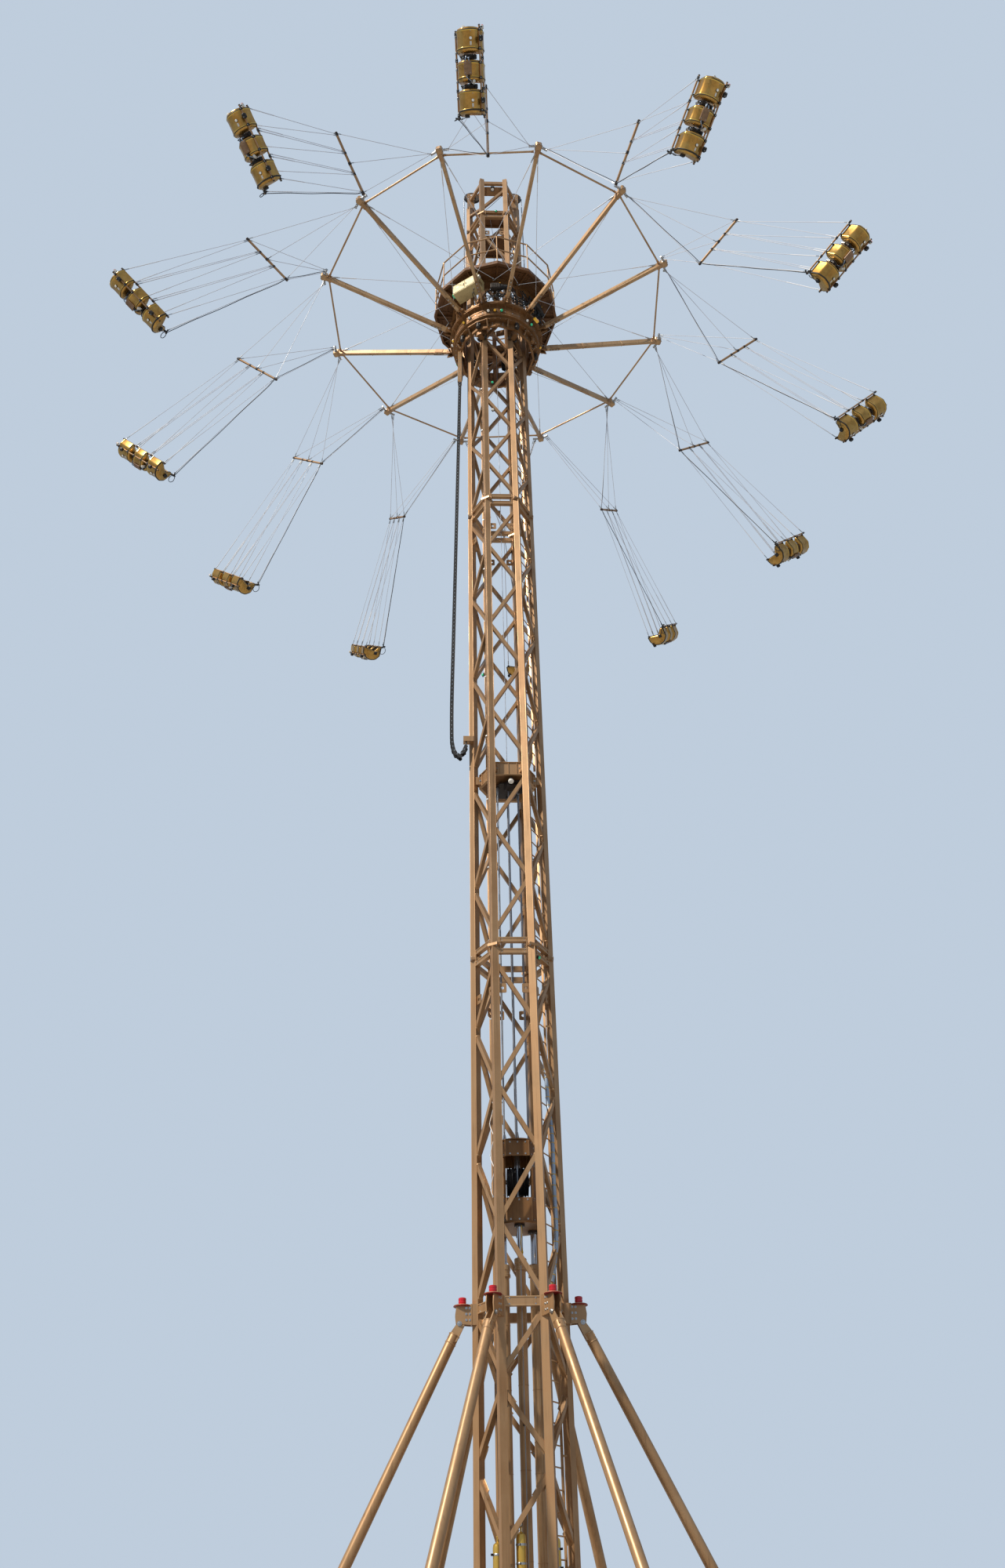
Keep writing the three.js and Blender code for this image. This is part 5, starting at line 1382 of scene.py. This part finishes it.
# Leads of the cabinet's right side: short loops between the rotor's posts, each to a small box
for n in range(26):
    azimuth = radians(-13 + 3.2 * n + rnd.uniform(-1.5, 1.5))
    axes = out, across, up = axes_at(azimuth)
    start = out * 1.16 + up * (29.50 + 0.02 * (n % 3))
    end = out * 1.17 + across * rnd.uniform(-0.10, 0.10) + up * rnd.uniform(29.86, 30.20)
    middle = (start + end) / 2 + out * rnd.uniform(0.02, 0.10) + across * rnd.uniform(-0.16, 0.16)
    low_bow = (start + middle) / 2 + across * rnd.uniform(-0.10, 0.10) + out * 0.03
    rotor.tube(smooth_path([start, low_bow, middle, end], 5), 0.0095 + 0.002 * (n % 2), "black", 8)
    if n % 2 == 0:
        rotor.bar(end, (0.07, 0.09, 0.08 + 0.02 * (n % 3)), axes, "iron" if n % 4 else "painted_shade_bronze", 0.008)
        rotor.turned(end - up * 0.045, -up, [(0.018, 0), (0.018, 0.02), (0.012, 0.03)], "zinc", 10)
rotor.make("ring")

# %% [markdown]
# ## Cabinet
# A beige cabinet rides on the rotor. It is sheet steel, so what makes it read as one is two doors with a thin
# gap round each, hinges, latches, a rain edge on top and cable glands below. Its small plates are left blank.

# %% Cabinet fittings
cabinet = Piece("cabinet_fittings")
low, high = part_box("control_cabinet")
print("cabinet", [round(high[i] - low[i], 2) for i in range(3)], "m")
axes = out, across, up = axes_at(FIRST_ARM - ARM_STEP / 2)
front = out * 1.4603 + up * 30.09
for side in SIDES:
    door = front + across * (side * 0.178)
    cabinet.bar(door + out * 0.004, (0.014, 0.335, 0.300), axes, "beige", 0.005)
    cabinet.bar(door + out * 0.0125, (0.004, 0.270, 0.235), axes, "beige", 0.002)
    cabinet.bar(door + out * 0.014 - across * (side * 0.145), (0.014, 0.022, 0.075), axes, "black", 0.004)
    cabinet.bar(door + out * 0.015 + across * (side * 0.04) + up * 0.02, (0.004, 0.075, 0.050), axes, "plate",
        0.001)
    for height in (-0.11, 0.11):
        hinge = door + out * 0.012 + across * (side * 0.168) + up * height
        cabinet.tube([hinge - up * 0.03, hinge + up * 0.03], 0.007, "zinc", 10)
cabinet.bar(out * 1.2953 + up * 30.2585, (0.345, 0.735, 0.007), axes, "beige", 0.002)
# The louvres take the deck's darker bronze, which is painted shade.
for side in SIDES:
    flank = out * 1.30 + across * (side * 0.36) + up * 30.06
    for n in range(5):
        cabinet.bar(flank + up * (0.05 - 0.03 * n), (0.16, 0.008, 0.010), axes, "deck", 0.002)
cabinet.bar(out * 1.36 - across * 0.385 + up * 30.02, (0.10, 0.05, 0.09), axes, "lamp_green", 0.008)
cabinet.bar(out * 1.40 + across * 0.385 + up * 30.17, (0.08, 0.05, 0.07), axes, "plate", 0.008)
for n in range(3):
    foot = out * (1.25 + 0.08 * (n % 2)) + across * (0.10 + 0.08 * n) + up * 29.925
    cabinet.turned(foot, -up, [(0.020, 0), (0.020, 0.012), (0.015, 0.014), (0.015, 0.035)], "zinc", 8)
    lead = [foot - up * 0.03, foot - up * 0.12 + out * 0.01, foot - up * 0.22 - out * 0.05,
        foot - up * 0.34 - out * 0.06, out * 1.165 + across * (0.14 + 0.05 * n) + up * 29.47]
    cabinet.tube(smooth_path(lead, 4), 0.008, "black", 8)
cabinet.make("ring")

# %% [markdown]
# ## Platform railing
# The railing is round tube, and the deck's edge is a folded skirt. A tube railing is made as a path carried
# round the twelve corners, with a post at each corner on a foot with two bolts.

# %% Railing and deck details
railing = Piece("railing_tubes")
DECK = 30.53
for height in (0.532, 1.082):
    corners = [polar(i * ARM_STEP, 1.5615, DECK + height) for i in range(12)]
    ring_path = []
    for i, corner in enumerate(corners):
        before, after = unit(corners[i - 1] - corner), unit(corners[(i + 1) % 12] - corner)
        ring_path += [corner + before * 0.03, corner, corner + after * 0.03]
    railing.tube(ring_path, 0.018, "painted_highlight_bronze", 16, True)
for i in range(12):
    axes = out, across, up = axes_at(i * ARM_STEP)
    foot = out * 1.558 + up * DECK
    railing.tube([foot, foot + up * 1.08], 0.015, "painted_highlight_bronze", 14)
    railing.bar(foot + up * 0.006 - out * 0.005, (0.065, 0.10, 0.010), axes, "bronze", 0.002)
    for height in (0.532, 1.082):
        railing.turned(foot + up * (height - 0.05), up, [(0.0165, 0), (0.020, 0.02), (0.0205, 0.05)], "painted_highlight_bronze", 14)
    for side in SIDES:
        railing.bolt(foot + across * (side * 0.035) + up * 0.011, up, 0.012)
railing.make("carriage", ["platform_railing"])

deck_parts = Piece("deck_stiffeners")
for i in range(12):
    for part in (-0.33, 0.33):
        angle = (i + 0.5 + part) * ARM_STEP
        axes = out, across, up = axes_at(angle)
        reach = 1.52 * cos(ARM_STEP / 2) / cos(part * ARM_STEP)
        deck_parts.beam(out * 1.15 + up * 30.492, out * reach + up * 30.492, across, 0.016, 0.016, "deck", 0.004)
    axes = out, across, up = axes_at((i + 0.5) * ARM_STEP)
    for radius in (1.25, 1.40):
        wide = 2 * radius * tan(ARM_STEP / 2) - 0.04
        deck_parts.bar(out * radius + up * 30.490, (0.012, wide, 0.020), axes, "deck", 0.003)
    edge = out * (1.60 * cos(ARM_STEP / 2) + 0.002)
    for side in (-2, -1, 0, 1, 2):
        deck_parts.bolt(edge + across * (side * 0.15) + up * 30.47, out, 0.012)
    for row in range(4):
        for column in range(5):
            place = out * (1.16 + 0.09 * row) + across * ((column - 2) * 0.10) + up * DECK
            deck_parts.turned(place, up, [(0.012, 0), (0.010, 0.003)], "deck", 8)
deck_parts.make("carriage")

# %% [markdown]
# ## Arms
# Each arm is a box beam, pinned in its fork, with doubler plates at the root and a cast head at the tip.
# Two pins on the head carry the gondolas' cables, a thin tie runs to the next arm, and two white stays pull
# back to the crown. A stay is a wire rope with a sleeve and a turnbuckle, which sets its length.

# %% Arm tubes, heads and stays
def stay(piece, k, side):
    angle = FIRST_ARM + k * ARM_STEP
    start = polar(angle, 4.434, TIP_HEIGHT)
    end = polar(angle + side * 1.5 * ARM_STEP, 1.211, 30.315 + side * 0.02)
    along = unit(end - start)
    piece.tube([start + along * 0.05, end - along * 0.02], 0.0062, "cable", 10)
    piece.tube([start + along * 0.40, start + along * 0.78], 0.0125, "sleeve", 12)
    body = [(0.007, 0.0), (0.012, 0.01), (0.012, 0.05), (0.017, 0.06), (0.017, 0.20), (0.012, 0.21), (0.012, 0.25),
        (0.007, 0.26)]
    piece.turned(start + along * 0.10, along, body, "zinc", 12)
    piece.tube([end - along * 0.16, end - along * 0.06], 0.0105, "zinc", 12)
    eye = along.cross(UP).normalized()
    piece.tube(ring(end - along * 0.028, eye, 0.020, 16), 0.006, "zinc", 8, True)
    piece.tube(ring(start + along * 0.03, eye, 0.024, 16), 0.008, "zinc", 8, True)


def arm(k):
    piece = Piece(f"arm_tube_{k + 1}")
    angle = FIRST_ARM + k * ARM_STEP
    axes = out, across, up = axes_at(angle)
    root, tip = polar(angle, 1.242, 29.54), polar(angle, 4.454, TIP_HEIGHT)
    along = unit(tip - root)
    lift = across.cross(along)
    lift = lift if lift.z > 0 else -lift
    # The arm's beam, doublers and head take the lighter bronze copy, a painted highlight.
    piece.beam(root, tip - along * 0.04, across, 0.080, 0.140, "painted_highlight_bronze", 0.011)
    for side in SIDES:
        piece.beam(root + along * 0.17, root + along * 0.46, across, 0.066, 0.158, "painted_highlight_bronze", 0.004)
        for at in (0.21, 0.30, 0.39):
            piece.bolt(root + along * at + lift * (side * 0.079), lift * side, 0.015)
        piece.beam(root + along * 0.20 + across * (side * 0.042), root + along * 0.42 + across * (side * 0.042),
            across, 0.010, 0.10, "bronze", 0.003)
    for at in (1.17, 2.33):
        piece.beam(root + along * (at - 0.011), root + along * (at + 0.011), across, 0.085, 0.145, "painted_highlight_bronze", 0.004)
        piece.bar(root + along * (at + 0.06) - lift * 0.073, (0.06, 0.03, 0.008), (along, across, lift), "bronze",
            0.002)
    piece.beam(tip - along * 0.20, tip - along * 0.05, across, 0.098, 0.158, "bronze", 0.006)

    head = out * 4.474 + up * TIP_HEIGHT
    piece.bar(head, (0.170, 0.150, 0.170), axes, "painted_highlight_bronze", 0.022)
    piece.bar(head + out * 0.087, (0.010, 0.10, 0.11), axes, "bronze", 0.003)
    for a in (-0.035, 0.035):
        for b in (-0.04, 0.04):
            piece.bolt(head + out * 0.092 + across * a + up * b, out, 0.014)
    for side in SIDES:
        pin_start = polar(angle, TIP_RADIUS, TIP_HEIGHT)
        toward = unit(polar(angle + side * ARM_STEP, TIP_RADIUS, TIP_HEIGHT) - pin_start)
        piece.turned(pin_start + toward * 0.070, toward, [(0.046, 0.0), (0.046, 0.02), (0.025, 0.024),
            (0.025, 0.0498)], "zinc", 20)
        piece.turned(pin_start, toward, [(0.052, 0.02), (0.052, 0.070)], "bronze", 20)
    tie_start = polar(angle, 4.364, TIP_HEIGHT)
    tie_end = polar(angle + ARM_STEP, 4.364, TIP_HEIGHT)
    toward = unit(tie_end - tie_start)
    piece.tube([tie_start + toward * 0.01, tie_end - toward * 0.078], 0.022, "painted_highlight_bronze", 16)
    for place, sign in ((tie_start + toward * 0.064, 1), (tie_end - toward * 0.078, -1)):
        piece.turned(place, toward * sign, [(0.034, 0), (0.034, 0.014), (0.027, 0.018), (0.027, 0.06),
            (0.023, 0.065)], "bronze", 16)
    for side in SIDES:
        stay(piece, k, side)
    piece.make("ring", [f"arm_{k + 1}"])


for k in range(12):
    arm(k)

# %% [markdown]
# ## Hangers
# Each gondola hangs from two pins, on neighbouring arms. Three cables come down from each pin to a spreader
# bar, and ten more go on from the bar to the gondola. A point on a gondola is given in its own frame: u runs
# outward along the bench, v forward, and w up. One matrix for each gondola turns that into a place.

# %% A gondola's own frame
SWING, LAG = radians(40), radians(4)
BAR_DROP, RAIL_DROP = 2.7, 6.42
HALF_CHORD = TIP_RADIUS * sin(ARM_STEP / 2)


def gondola_frame(k):
    angle = FIRST_ARM + (k + 0.5) * ARM_STEP
    pivot = polar(angle, TIP_RADIUS * cos(ARM_STEP / 2), TIP_HEIGHT)
    forward = xyz(cos(angle), sin(angle), 0)
    out = polar(angle, 1, 0)
    down = out * sin(SWING) - UP * cos(SWING)
    along = out * cos(SWING) + UP * sin(SWING)
    bar_middle = pivot + down * BAR_DROP
    lag = Matrix.Rotation(-LAG, 3, along)
    hang, ahead = lag @ down, lag @ forward
    rail_middle = bar_middle + hang * (RAIL_DROP - BAR_DROP)
    place = Matrix((along, ahead, -hang)).transposed().to_4x4()
    place.translation = rail_middle
    return {"pivot": pivot, "forward": forward, "down": down, "along": along, "bar": bar_middle, "place": place}


# %% Spreader bar and cables
def cable(piece, start, end, sleeve=0.0, thick=0.0058):
    along = unit(end - start)
    piece.tube([start, end], thick, "cable", 8)
    piece.tube([start + along * 0.035, start + along * 0.125], thick * 1.75, "zinc", 10)
    piece.tube([end - along * 0.125, end - along * 0.035], thick * 1.75, "zinc", 10)
    if sleeve:
        piece.tube([end - along * sleeve, end - along * 0.13], thick * 1.6, "sleeve", 10)


def hanger(k):
    piece = Piece(f"hanger_cables_{k + 1}")
    g = gondola_frame(k)
    forward, down, along = g["forward"], g["down"], g["along"]

    def bar_point(u, drop=0.0):
        return g["bar"] + along * u + down * drop

    def rail_point(u, v, w):
        return g["place"] @ xyz(u, v, w)

    piece.tube([bar_point(-0.705), bar_point(0.705)], 0.0275, "bronze", 20)
    for side in SIDES:
        piece.turned(bar_point(side * 0.690), along * side, [(0.030, 0), (0.030, 0.010), (0.022, 0.016)], "black",
            18)
        hub = g["pivot"] + forward * (side * (HALF_CHORD - 0.1204))
        barrel = [(0.024, 0.0), (0.034, 0.004), (0.034, 0.014), (0.026, 0.016), (0.026, 0.045), (0.033, 0.047),
            (0.033, 0.055), (0.026, 0.057), (0.026, 0.094), (0.034, 0.096), (0.034, 0.106), (0.024, 0.110)]
        piece.turned(hub, forward * -side, barrel, "zinc", 18)
        for n, u in enumerate((-0.665, 0.0, 0.665)):
            start = hub - forward * (side * (0.020 + 0.035 * n)) + down * 0.022
            cable(piece, start, bar_point(u + side * 0.014, -0.02), 0.0, 0.0062)
    for u in (-0.665, 0.0, 0.665):
        piece.turned(bar_point(u - 0.032), along, collar(0.031, 0.034, 0.004, 0.064), "iron", 20)
        piece.plate([(-0.030, 0.02), (0.030, 0.02), (0.020, 0.062), (-0.020, 0.062)], 0.010, bar_point(u), forward,
            -down, "zinc")
    for u, r in ((-0.645, -0.69), (-0.235, -0.255), (0.235, 0.255), (0.645, 0.69)):
        piece.turned(bar_point(u - 0.024), along, collar(0.030, 0.033, 0.004, 0.048), "iron", 20)
        cable(piece, bar_point(u - 0.014, 0.02), rail_point(r, -0.225, 0.022), 0.95)
        cable(piece, bar_point(u + 0.014, 0.02), rail_point(r, 0.262, -0.078), 1.0)
        if abs(u) < 0.5:
            cable(piece, bar_point(u + 0.042, 0.02), rail_point(r + 0.05, 0.262, -0.078), 1.0)
    # The lead to the gondola's lamps is tied to the inner cables
    lead = []
    start = g["pivot"] - forward * (HALF_CHORD - 0.16) + down * 0.03
    for s in range(11):
        t = s / 10
        lead.append(start.lerp(bar_point(-0.660, -0.015), t) + along * (0.012 + 0.006 * sin(9 * t)))
    for s in range(1, 17):
        t = s / 16
        lead.append(bar_point(-0.660, 0.02).lerp(rail_point(-0.705, -0.235, 0.03), t)
            + along * (-0.014 - 0.006 * sin(14 * t)))
    piece.tube(smooth_path(lead, 3), 0.0075, "black", 8)
    piece.make(f"seat_{k + 1}", [f"hanger_{k + 1}"])


for k in range(12):
    hanger(k)

# %% [markdown]
# ## Gondolas
# A gondola is three bucket seats between a back rail and a front rail. Each bucket is a folded sheet with
# flat facets, a raised edge whose lighter gold crown is a painted highlight, and a dark rubber trim, closed by
# two domed cheeks. The sheet is made by carrying a closed cross-section along the bucket's profile, as a press
# brake would bend it.

# %% The bucket's profile
PROFILE = [(-0.190, -0.010), (-0.185, -0.270), (-0.085, -0.385), (0.055, -0.420), (0.165, -0.390), (0.285, -0.270),
           (0.300, -0.120)]
CHEEK_TOP = [(0.300, -0.120), (0.230, -0.110), (-0.005, -0.165), (-0.115, -0.020), (-0.190, -0.010)]
SEAM_INSET = 0.048


def rounded_line(points, radius, steps=4, closed=False):
    """Rounds the corners of a flat outline, and keeps its straight parts straight."""
    line = []
    count = len(points)
    for i, (x, y) in enumerate(points):
        here = Vector((x, y))
        if not closed and i in (0, count - 1):
            line.append(here)
            continue
        before, after = Vector(points[i - 1]), Vector(points[(i + 1) % count])
        reach = min(radius, (before - here).length * 0.45, (after - here).length * 0.45)
        a, c = here + unit(before - here) * reach, here + unit(after - here) * reach
        for s in range(steps + 1):
            t = s / steps
            line.append(a * (1 - t) ** 2 + here * 2 * t * (1 - t) + c * t * t)
    return line


def bucket(piece, middle, width, banded):
    """A bucket seat: the folded sheet, the cheeks, the trims and the seat pan inside."""
    line = rounded_line(PROFILE, 0.045, 5)
    half = width / 2
    seam = half - SEAM_INSET
    # The lighter gold strips on the bead's crown are a painted highlight along the seam.
    # Half of the section: how far in from the seam, how far proud of the profile, and the paint of the strip
    edge = [(-0.010, -0.012, "trim"), (-0.010, 0.003, "trim"), (-0.005, 0.007, "trim"),
        (0.004, 0.007, "bright_gold_and_painted_highlight"), (0.010, 0.0085, "bright_gold_and_painted_highlight"), (0.016, 0.0075, "bright_gold_and_painted_highlight"),
        (0.022, 0.002, "gold"), (0.070, -0.001, "gold")]
    section = [(inset - seam, proud, paint) for inset, proud, paint in edge] + [(0.0, -0.0025, "gold")]
    mirrored = edge[::-1]
    for n, (inset, proud, _) in enumerate(mirrored):
        section.append((seam - inset, proud, mirrored[n + 1][2] if n + 1 < len(mirrored) else "gold"))
    section += [(seam - 0.02, -0.018, "gold"), (0.02 - seam, -0.018, "trim")]
    count, width_count = len(line), len(section)
    points = []
    for i, here in enumerate(line):
        direction = unit(line[min(i + 1, count - 1)] - line[max(i - 1, 0)])
        normal = Vector((-direction.y, direction.x))
        if normal.dot(here - Vector((0.03, -0.2))) < 0:
            normal = -normal
        for u, proud, _ in section:
            flat = here + normal * proud
            points.append(xyz(middle + u, flat.x, flat.y))
    by_paint = {}
    for n, face in enumerate(quads(count, width_count)):
        by_paint.setdefault(section[n % width_count][2], []).append(face)
    by_paint["trim"].append(tuple(range(width_count)))
    by_paint["trim"].append(tuple((count - 1) * width_count + s for s in range(width_count - 1, -1, -1)))
    for paint, faces in by_paint.items():
        piece.add(points, faces, paint)

    outline = rounded_line(PROFILE[:-1] + CHEEK_TOP[:-1], 0.028, 3, True)
    centre = Vector((0.03, -0.265))
    rings = [(0.0, -0.028), (0.60, -0.028), (0.90, -0.030), (0.94, -0.040), (0.93, -0.052), (1.0, -0.050),
        (0.995, -0.040), (0.975, -0.026), (0.94, -0.014), (0.885, -0.005), (0.80, 0.001), (0.78, -0.0005),
        (0.76, 0.0015), (0.45, 0.006), (0.0, 0.008)]
    for side in SIDES:
        points = []
        for scale, bulge in rings:
            for flat in outline:
                place = centre + (flat - centre) * scale
                points.append(xyz(middle + side * (half + bulge), place.x, place.y))
        piece.add(points, quads(len(rings), len(outline)), "gold")
        top = [xyz(middle + side * (half - 0.045), flat.x, flat.y)
            for flat in rounded_line(CHEEK_TOP[::-1], 0.025, 4)]
        piece.tube(top, 0.0105, "trim", 10)
    if banded:
        # A thick black band covers the inner seam of the bucket nearest the tower
        proud = [centre + (flat - centre) * 1.02 for flat in line]
        strip = [xyz(middle - seam, flat.x, flat.y) for flat in proud]
        piece.tube(strip, 0.016, "trim", 10)

    # The pan and the back rest inside are dark moulded shells with shallow channels
    inside = rounded_line([(-0.160, -0.035), (-0.152, -0.245), (-0.072, -0.335), (0.055, -0.366), (0.145, -0.340),
        (0.240, -0.245), (0.262, -0.150)], 0.05, 5)
    channels = 9
    row = channels * 4 + 1
    points = []
    span = width - 0.062
    for flat in inside:
        for s in range(row):
            u = -span / 2 + span * s / (row - 1)
            dip = 0.006 * abs(sin(pi * s / 4)) + 0.03 * (2 * u / span) ** 4
            inward = unit(Vector((0.04, -0.12)) - flat)
            raised = flat + inward * dip
            points.append(xyz(middle + u, raised.x, raised.y))
    piece.add(points, quads(len(inside), row, False), "black")


# %% [markdown]
# The rails, brackets, lamps and the small gear under and between the buckets follow. Seen from below, they
# are what makes the bench read as a working machine. Here u is RIGHT, v is BACK and w is UP.

# %% Rails and small gear
BUCKETS = ((-0.510, 0.400), (0.0, 0.340), (0.510, 0.400))
BACK_RAIL, FRONT_RAIL, LOWER_RAIL = (-0.225, 0.0), (0.262, -0.100), (0.240, -0.335)
CLAMPS = (-0.69, -0.255, 0.255, 0.69)


def rails(piece):
    for (v, w), radius in ((BACK_RAIL, 0.018), (FRONT_RAIL, 0.0175), (LOWER_RAIL, 0.0165)):
        piece.tube([xyz(-0.735, v, w), xyz(0.735, v, w)], radius, "bronze", 18)
        for side in SIDES:
            piece.turned(xyz(side * 0.733, v, w), RIGHT * side,
                [(radius + 0.003, 0), (radius + 0.003, 0.010), (radius - 0.004, 0.016)], "black", 16)
    for u in CLAMPS:
        for v, w in (BACK_RAIL, FRONT_RAIL):
            piece.turned(xyz(u - 0.030, v, w), RIGHT, collar(0.020, 0.0255, 0.005, 0.060), "black", 16)
            piece.plate([(-0.024, 0.016), (0.024, 0.016), (0.012, 0.046), (-0.012, 0.046)], 0.008, xyz(u, v, w),
                RIGHT, UP, "zinc")
            for side in SIDES:
                piece.bolt(xyz(u + side * 0.018, v, w - 0.025), -UP, 0.009)
    for middle, width in BUCKETS:
        for side in SIDES:
            u = middle + side * (width / 2 - 0.07)
            piece.turned(xyz(u - 0.020, -0.225, 0), RIGHT, collar(0.021, 0.024, 0.004, 0.040), "zinc", 16)
            piece.plate([(-0.225, 0.014), (-0.165, -0.020), (-0.165, -0.075), (-0.200, -0.060), (-0.238, -0.014)],
                0.012, xyz(u, 0, 0), BACK, UP, "iron")
            u = middle + side * (width / 2 - 0.045)
            piece.bar(xyz(u, 0.242, -0.337), (0.050, 0.052, 0.046), LEVEL, "black", 0.008)
            piece.bolt(xyz(u, 0.246, -0.360), -UP, 0.010)
            cheek = middle + side * (width / 2 - 0.03)
            piece.bar(xyz(cheek, 0.264, -0.112), (0.034, 0.052, 0.026), LEVEL, "black", 0.006)
            piece.bolt(xyz(cheek, 0.292, -0.112), BACK, 0.009)


def small_gear(piece):
    for middle, _ in (BUCKETS[0], BUCKETS[2]):
        slope = xyz(0, 0.257, -0.966)
        tilted = (RIGHT, slope.cross(RIGHT), -slope)
        piece.lamp(xyz(middle, 0.085, -0.414), slope, 0.026, "lamp_white")
        piece.bar(xyz(middle - 0.078, 0.085, -0.413), (0.060, 0.034, 0.004), tilted, "plate", 0.001)
        for side in SIDES:
            piece.bolt(xyz(middle + side * 0.12, 0.085, -0.413), slope, 0.008)
        # The boxed clamps on the lower rail
        piece.bar(xyz(middle, 0.268, -0.380), (0.088, 0.066, 0.078), LEVEL, "black", 0.010)
        piece.bar(xyz(middle, 0.303, -0.380), (0.060, 0.008, 0.050), LEVEL, "iron", 0.003)
        for side in SIDES:
            piece.bolt(xyz(middle + side * 0.030, 0.268, -0.420), -UP, 0.009)
    for u in (-0.245, 0.245):
        piece.bar(xyz(u, 0.020, -0.215), (0.085, 0.190, 0.130), LEVEL, "iron", 0.014)
        piece.turned(xyz(u - 0.035, 0.135, -0.245), RIGHT, collar(0.030, 0.036, 0.006, 0.070), "black", 16)
        piece.turned(xyz(u, -0.110, -0.150), UP, [(0.022, -0.05), (0.028, -0.045), (0.028, 0.045), (0.022, 0.05)],
            "zinc", 14)
        hose = [(u, -0.11, -0.20), (u + 0.01, -0.13, -0.28), (u - 0.01, -0.02, -0.345), (u, 0.09, -0.33),
            (u, 0.13, -0.27)]
        piece.tube(smooth_path(hose, 6), 0.010, "black", 10)
    # Under the middle bucket: a flat box with two bright hoses and a small white bottle
    piece.bar(xyz(0.025, 0.015, -0.427), (0.230, 0.140, 0.034), LEVEL, "gear_box", 0.006)
    piece.bar(xyz(0.025, 0.015, -0.4455), (0.200, 0.112, 0.005), LEVEL, "gear_box", 0.002)
    for corner in ((-0.085, -0.045), (0.085, -0.045), (-0.085, 0.045), (0.085, 0.045)):
        piece.bolt(xyz(0.025 + corner[0], 0.015 + corner[1], -0.448), -UP, 0.007)
    for n, reach in ((0, 0.075), (1, 0.055)):
        arc = [(0.138, -0.020 + 0.06 * n, -0.430), (0.165, -0.024 + 0.06 * n, -0.438),
            (0.138 + reach, -0.01 + 0.04 * n, -0.425), (0.215, -0.005 + 0.05 * n, -0.370),
            (0.232, 0.000 + 0.03 * n, -0.290)]
        piece.tube(smooth_path(arc, 8), 0.0115, "silver_hose", 12)
    for n in range(3):
        arc = [(-0.088, -0.015 + 0.030 * n, -0.428), (-0.135, 0.0 + 0.02 * n, -0.437),
            (-0.190, 0.07 - 0.03 * n, -0.395), (-0.215, 0.03 + 0.02 * n, -0.330), (-0.235, 0.05 * n, -0.270)]
        piece.tube(smooth_path(arc, 6), 0.009, "black" if n else "silver_hose", 10)
    piece.turned(xyz(-0.205, 0.115, -0.395), xyz(0.35, 0.2, -0.9).normalized(),
        [(0.010, -0.055), (0.012, -0.05), (0.012, -0.035), (0.026, -0.022), (0.027, 0.035), (0.022, 0.045)],
        "plate", 16)
    # The lamp on its bent tube, at the outer end of the lower rail, and a round reflector
    arm_line = [(0.700, 0.240, -0.335), (0.700, 0.262, -0.352), (0.702, 0.285, -0.352), (0.702, 0.296, -0.335)]
    piece.tube(smooth_path(arm_line, 6), 0.010, "iron", 12)
    piece.bar(xyz(0.702, 0.298, -0.318), (0.062, 0.046, 0.058), LEVEL, "plate", 0.010)
    piece.bar(xyz(0.7350, 0.298, -0.318), (0.008, 0.034, 0.044), LEVEL, "lamp_red", 0.003)
    piece.turned(xyz(0.712, -0.045, -0.370), xyz(0.5, 0, -0.86).normalized(),
        [(0.027, -0.014), (0.027, 0.006), (0.020, 0.011)], "plate", 18)
    # At the inner end: a small black box on the cheek, a three-armed connector and the lead's loop
    piece.bar(xyz(-0.732, -0.045, -0.215), (0.040, 0.085, 0.085), LEVEL, "black", 0.008)
    piece.bar(xyz(-0.732, -0.045, -0.168), (0.024, 0.030, 0.012), LEVEL, "plate", 0.003)
    connector = xyz(-0.705, -0.235, 0.035)
    for turn in (0.4, 2.5, 4.6):
        arm_axis = xyz(0.35 * cos(turn), sin(turn), cos(turn)).normalized()
        piece.turned(connector, arm_axis, [(0.014, 0.0), (0.014, 0.035), (0.018, 0.037), (0.018, 0.055),
            (0.010, 0.06)], "black", 12)
    loop = [connector, (-0.742, -0.275, -0.01), (-0.768, -0.300, -0.09), (-0.772, -0.265, -0.175),
        (-0.768, -0.195, -0.200), (-0.760, -0.145, -0.150), (-0.748, -0.155, -0.070), (-0.728, -0.185, -0.030)]
    piece.tube(smooth_path(loop, 8), 0.0075, "black", 10)
    lead = [(-0.745, -0.160, -0.120), (-0.752, -0.120, -0.150), (-0.748, -0.085, -0.190), (-0.740, -0.065, -0.205)]
    piece.tube(smooth_path(lead, 6), 0.006, "black", 8)


bench = Piece("bench_pattern")
for number, (middle, width) in enumerate(BUCKETS):
    bucket(bench, middle, width, number == 0)
rails(bench)
small_gear(bench)
pattern = bench.mesh()
print("one gondola:", sum(len(face) - 2 for face in bench.faces), "triangles")

# %% Twelve gondolas
for k in range(12):
    data = pattern.copy()
    data.transform(gondola_frame(k)["place"])
    thing = bpy.data.objects.new(f"bench_{k + 1}", data)
    show(thing)
    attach(thing, f"seat_{k + 1}")
    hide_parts(f"gondola_{k + 1}")
bpy.data.meshes.remove(pattern)

# %% [markdown]
# ## Size
# Everything built here stays in the imported model's box.

# %% Update the scene
bpy.context.view_layer.update()
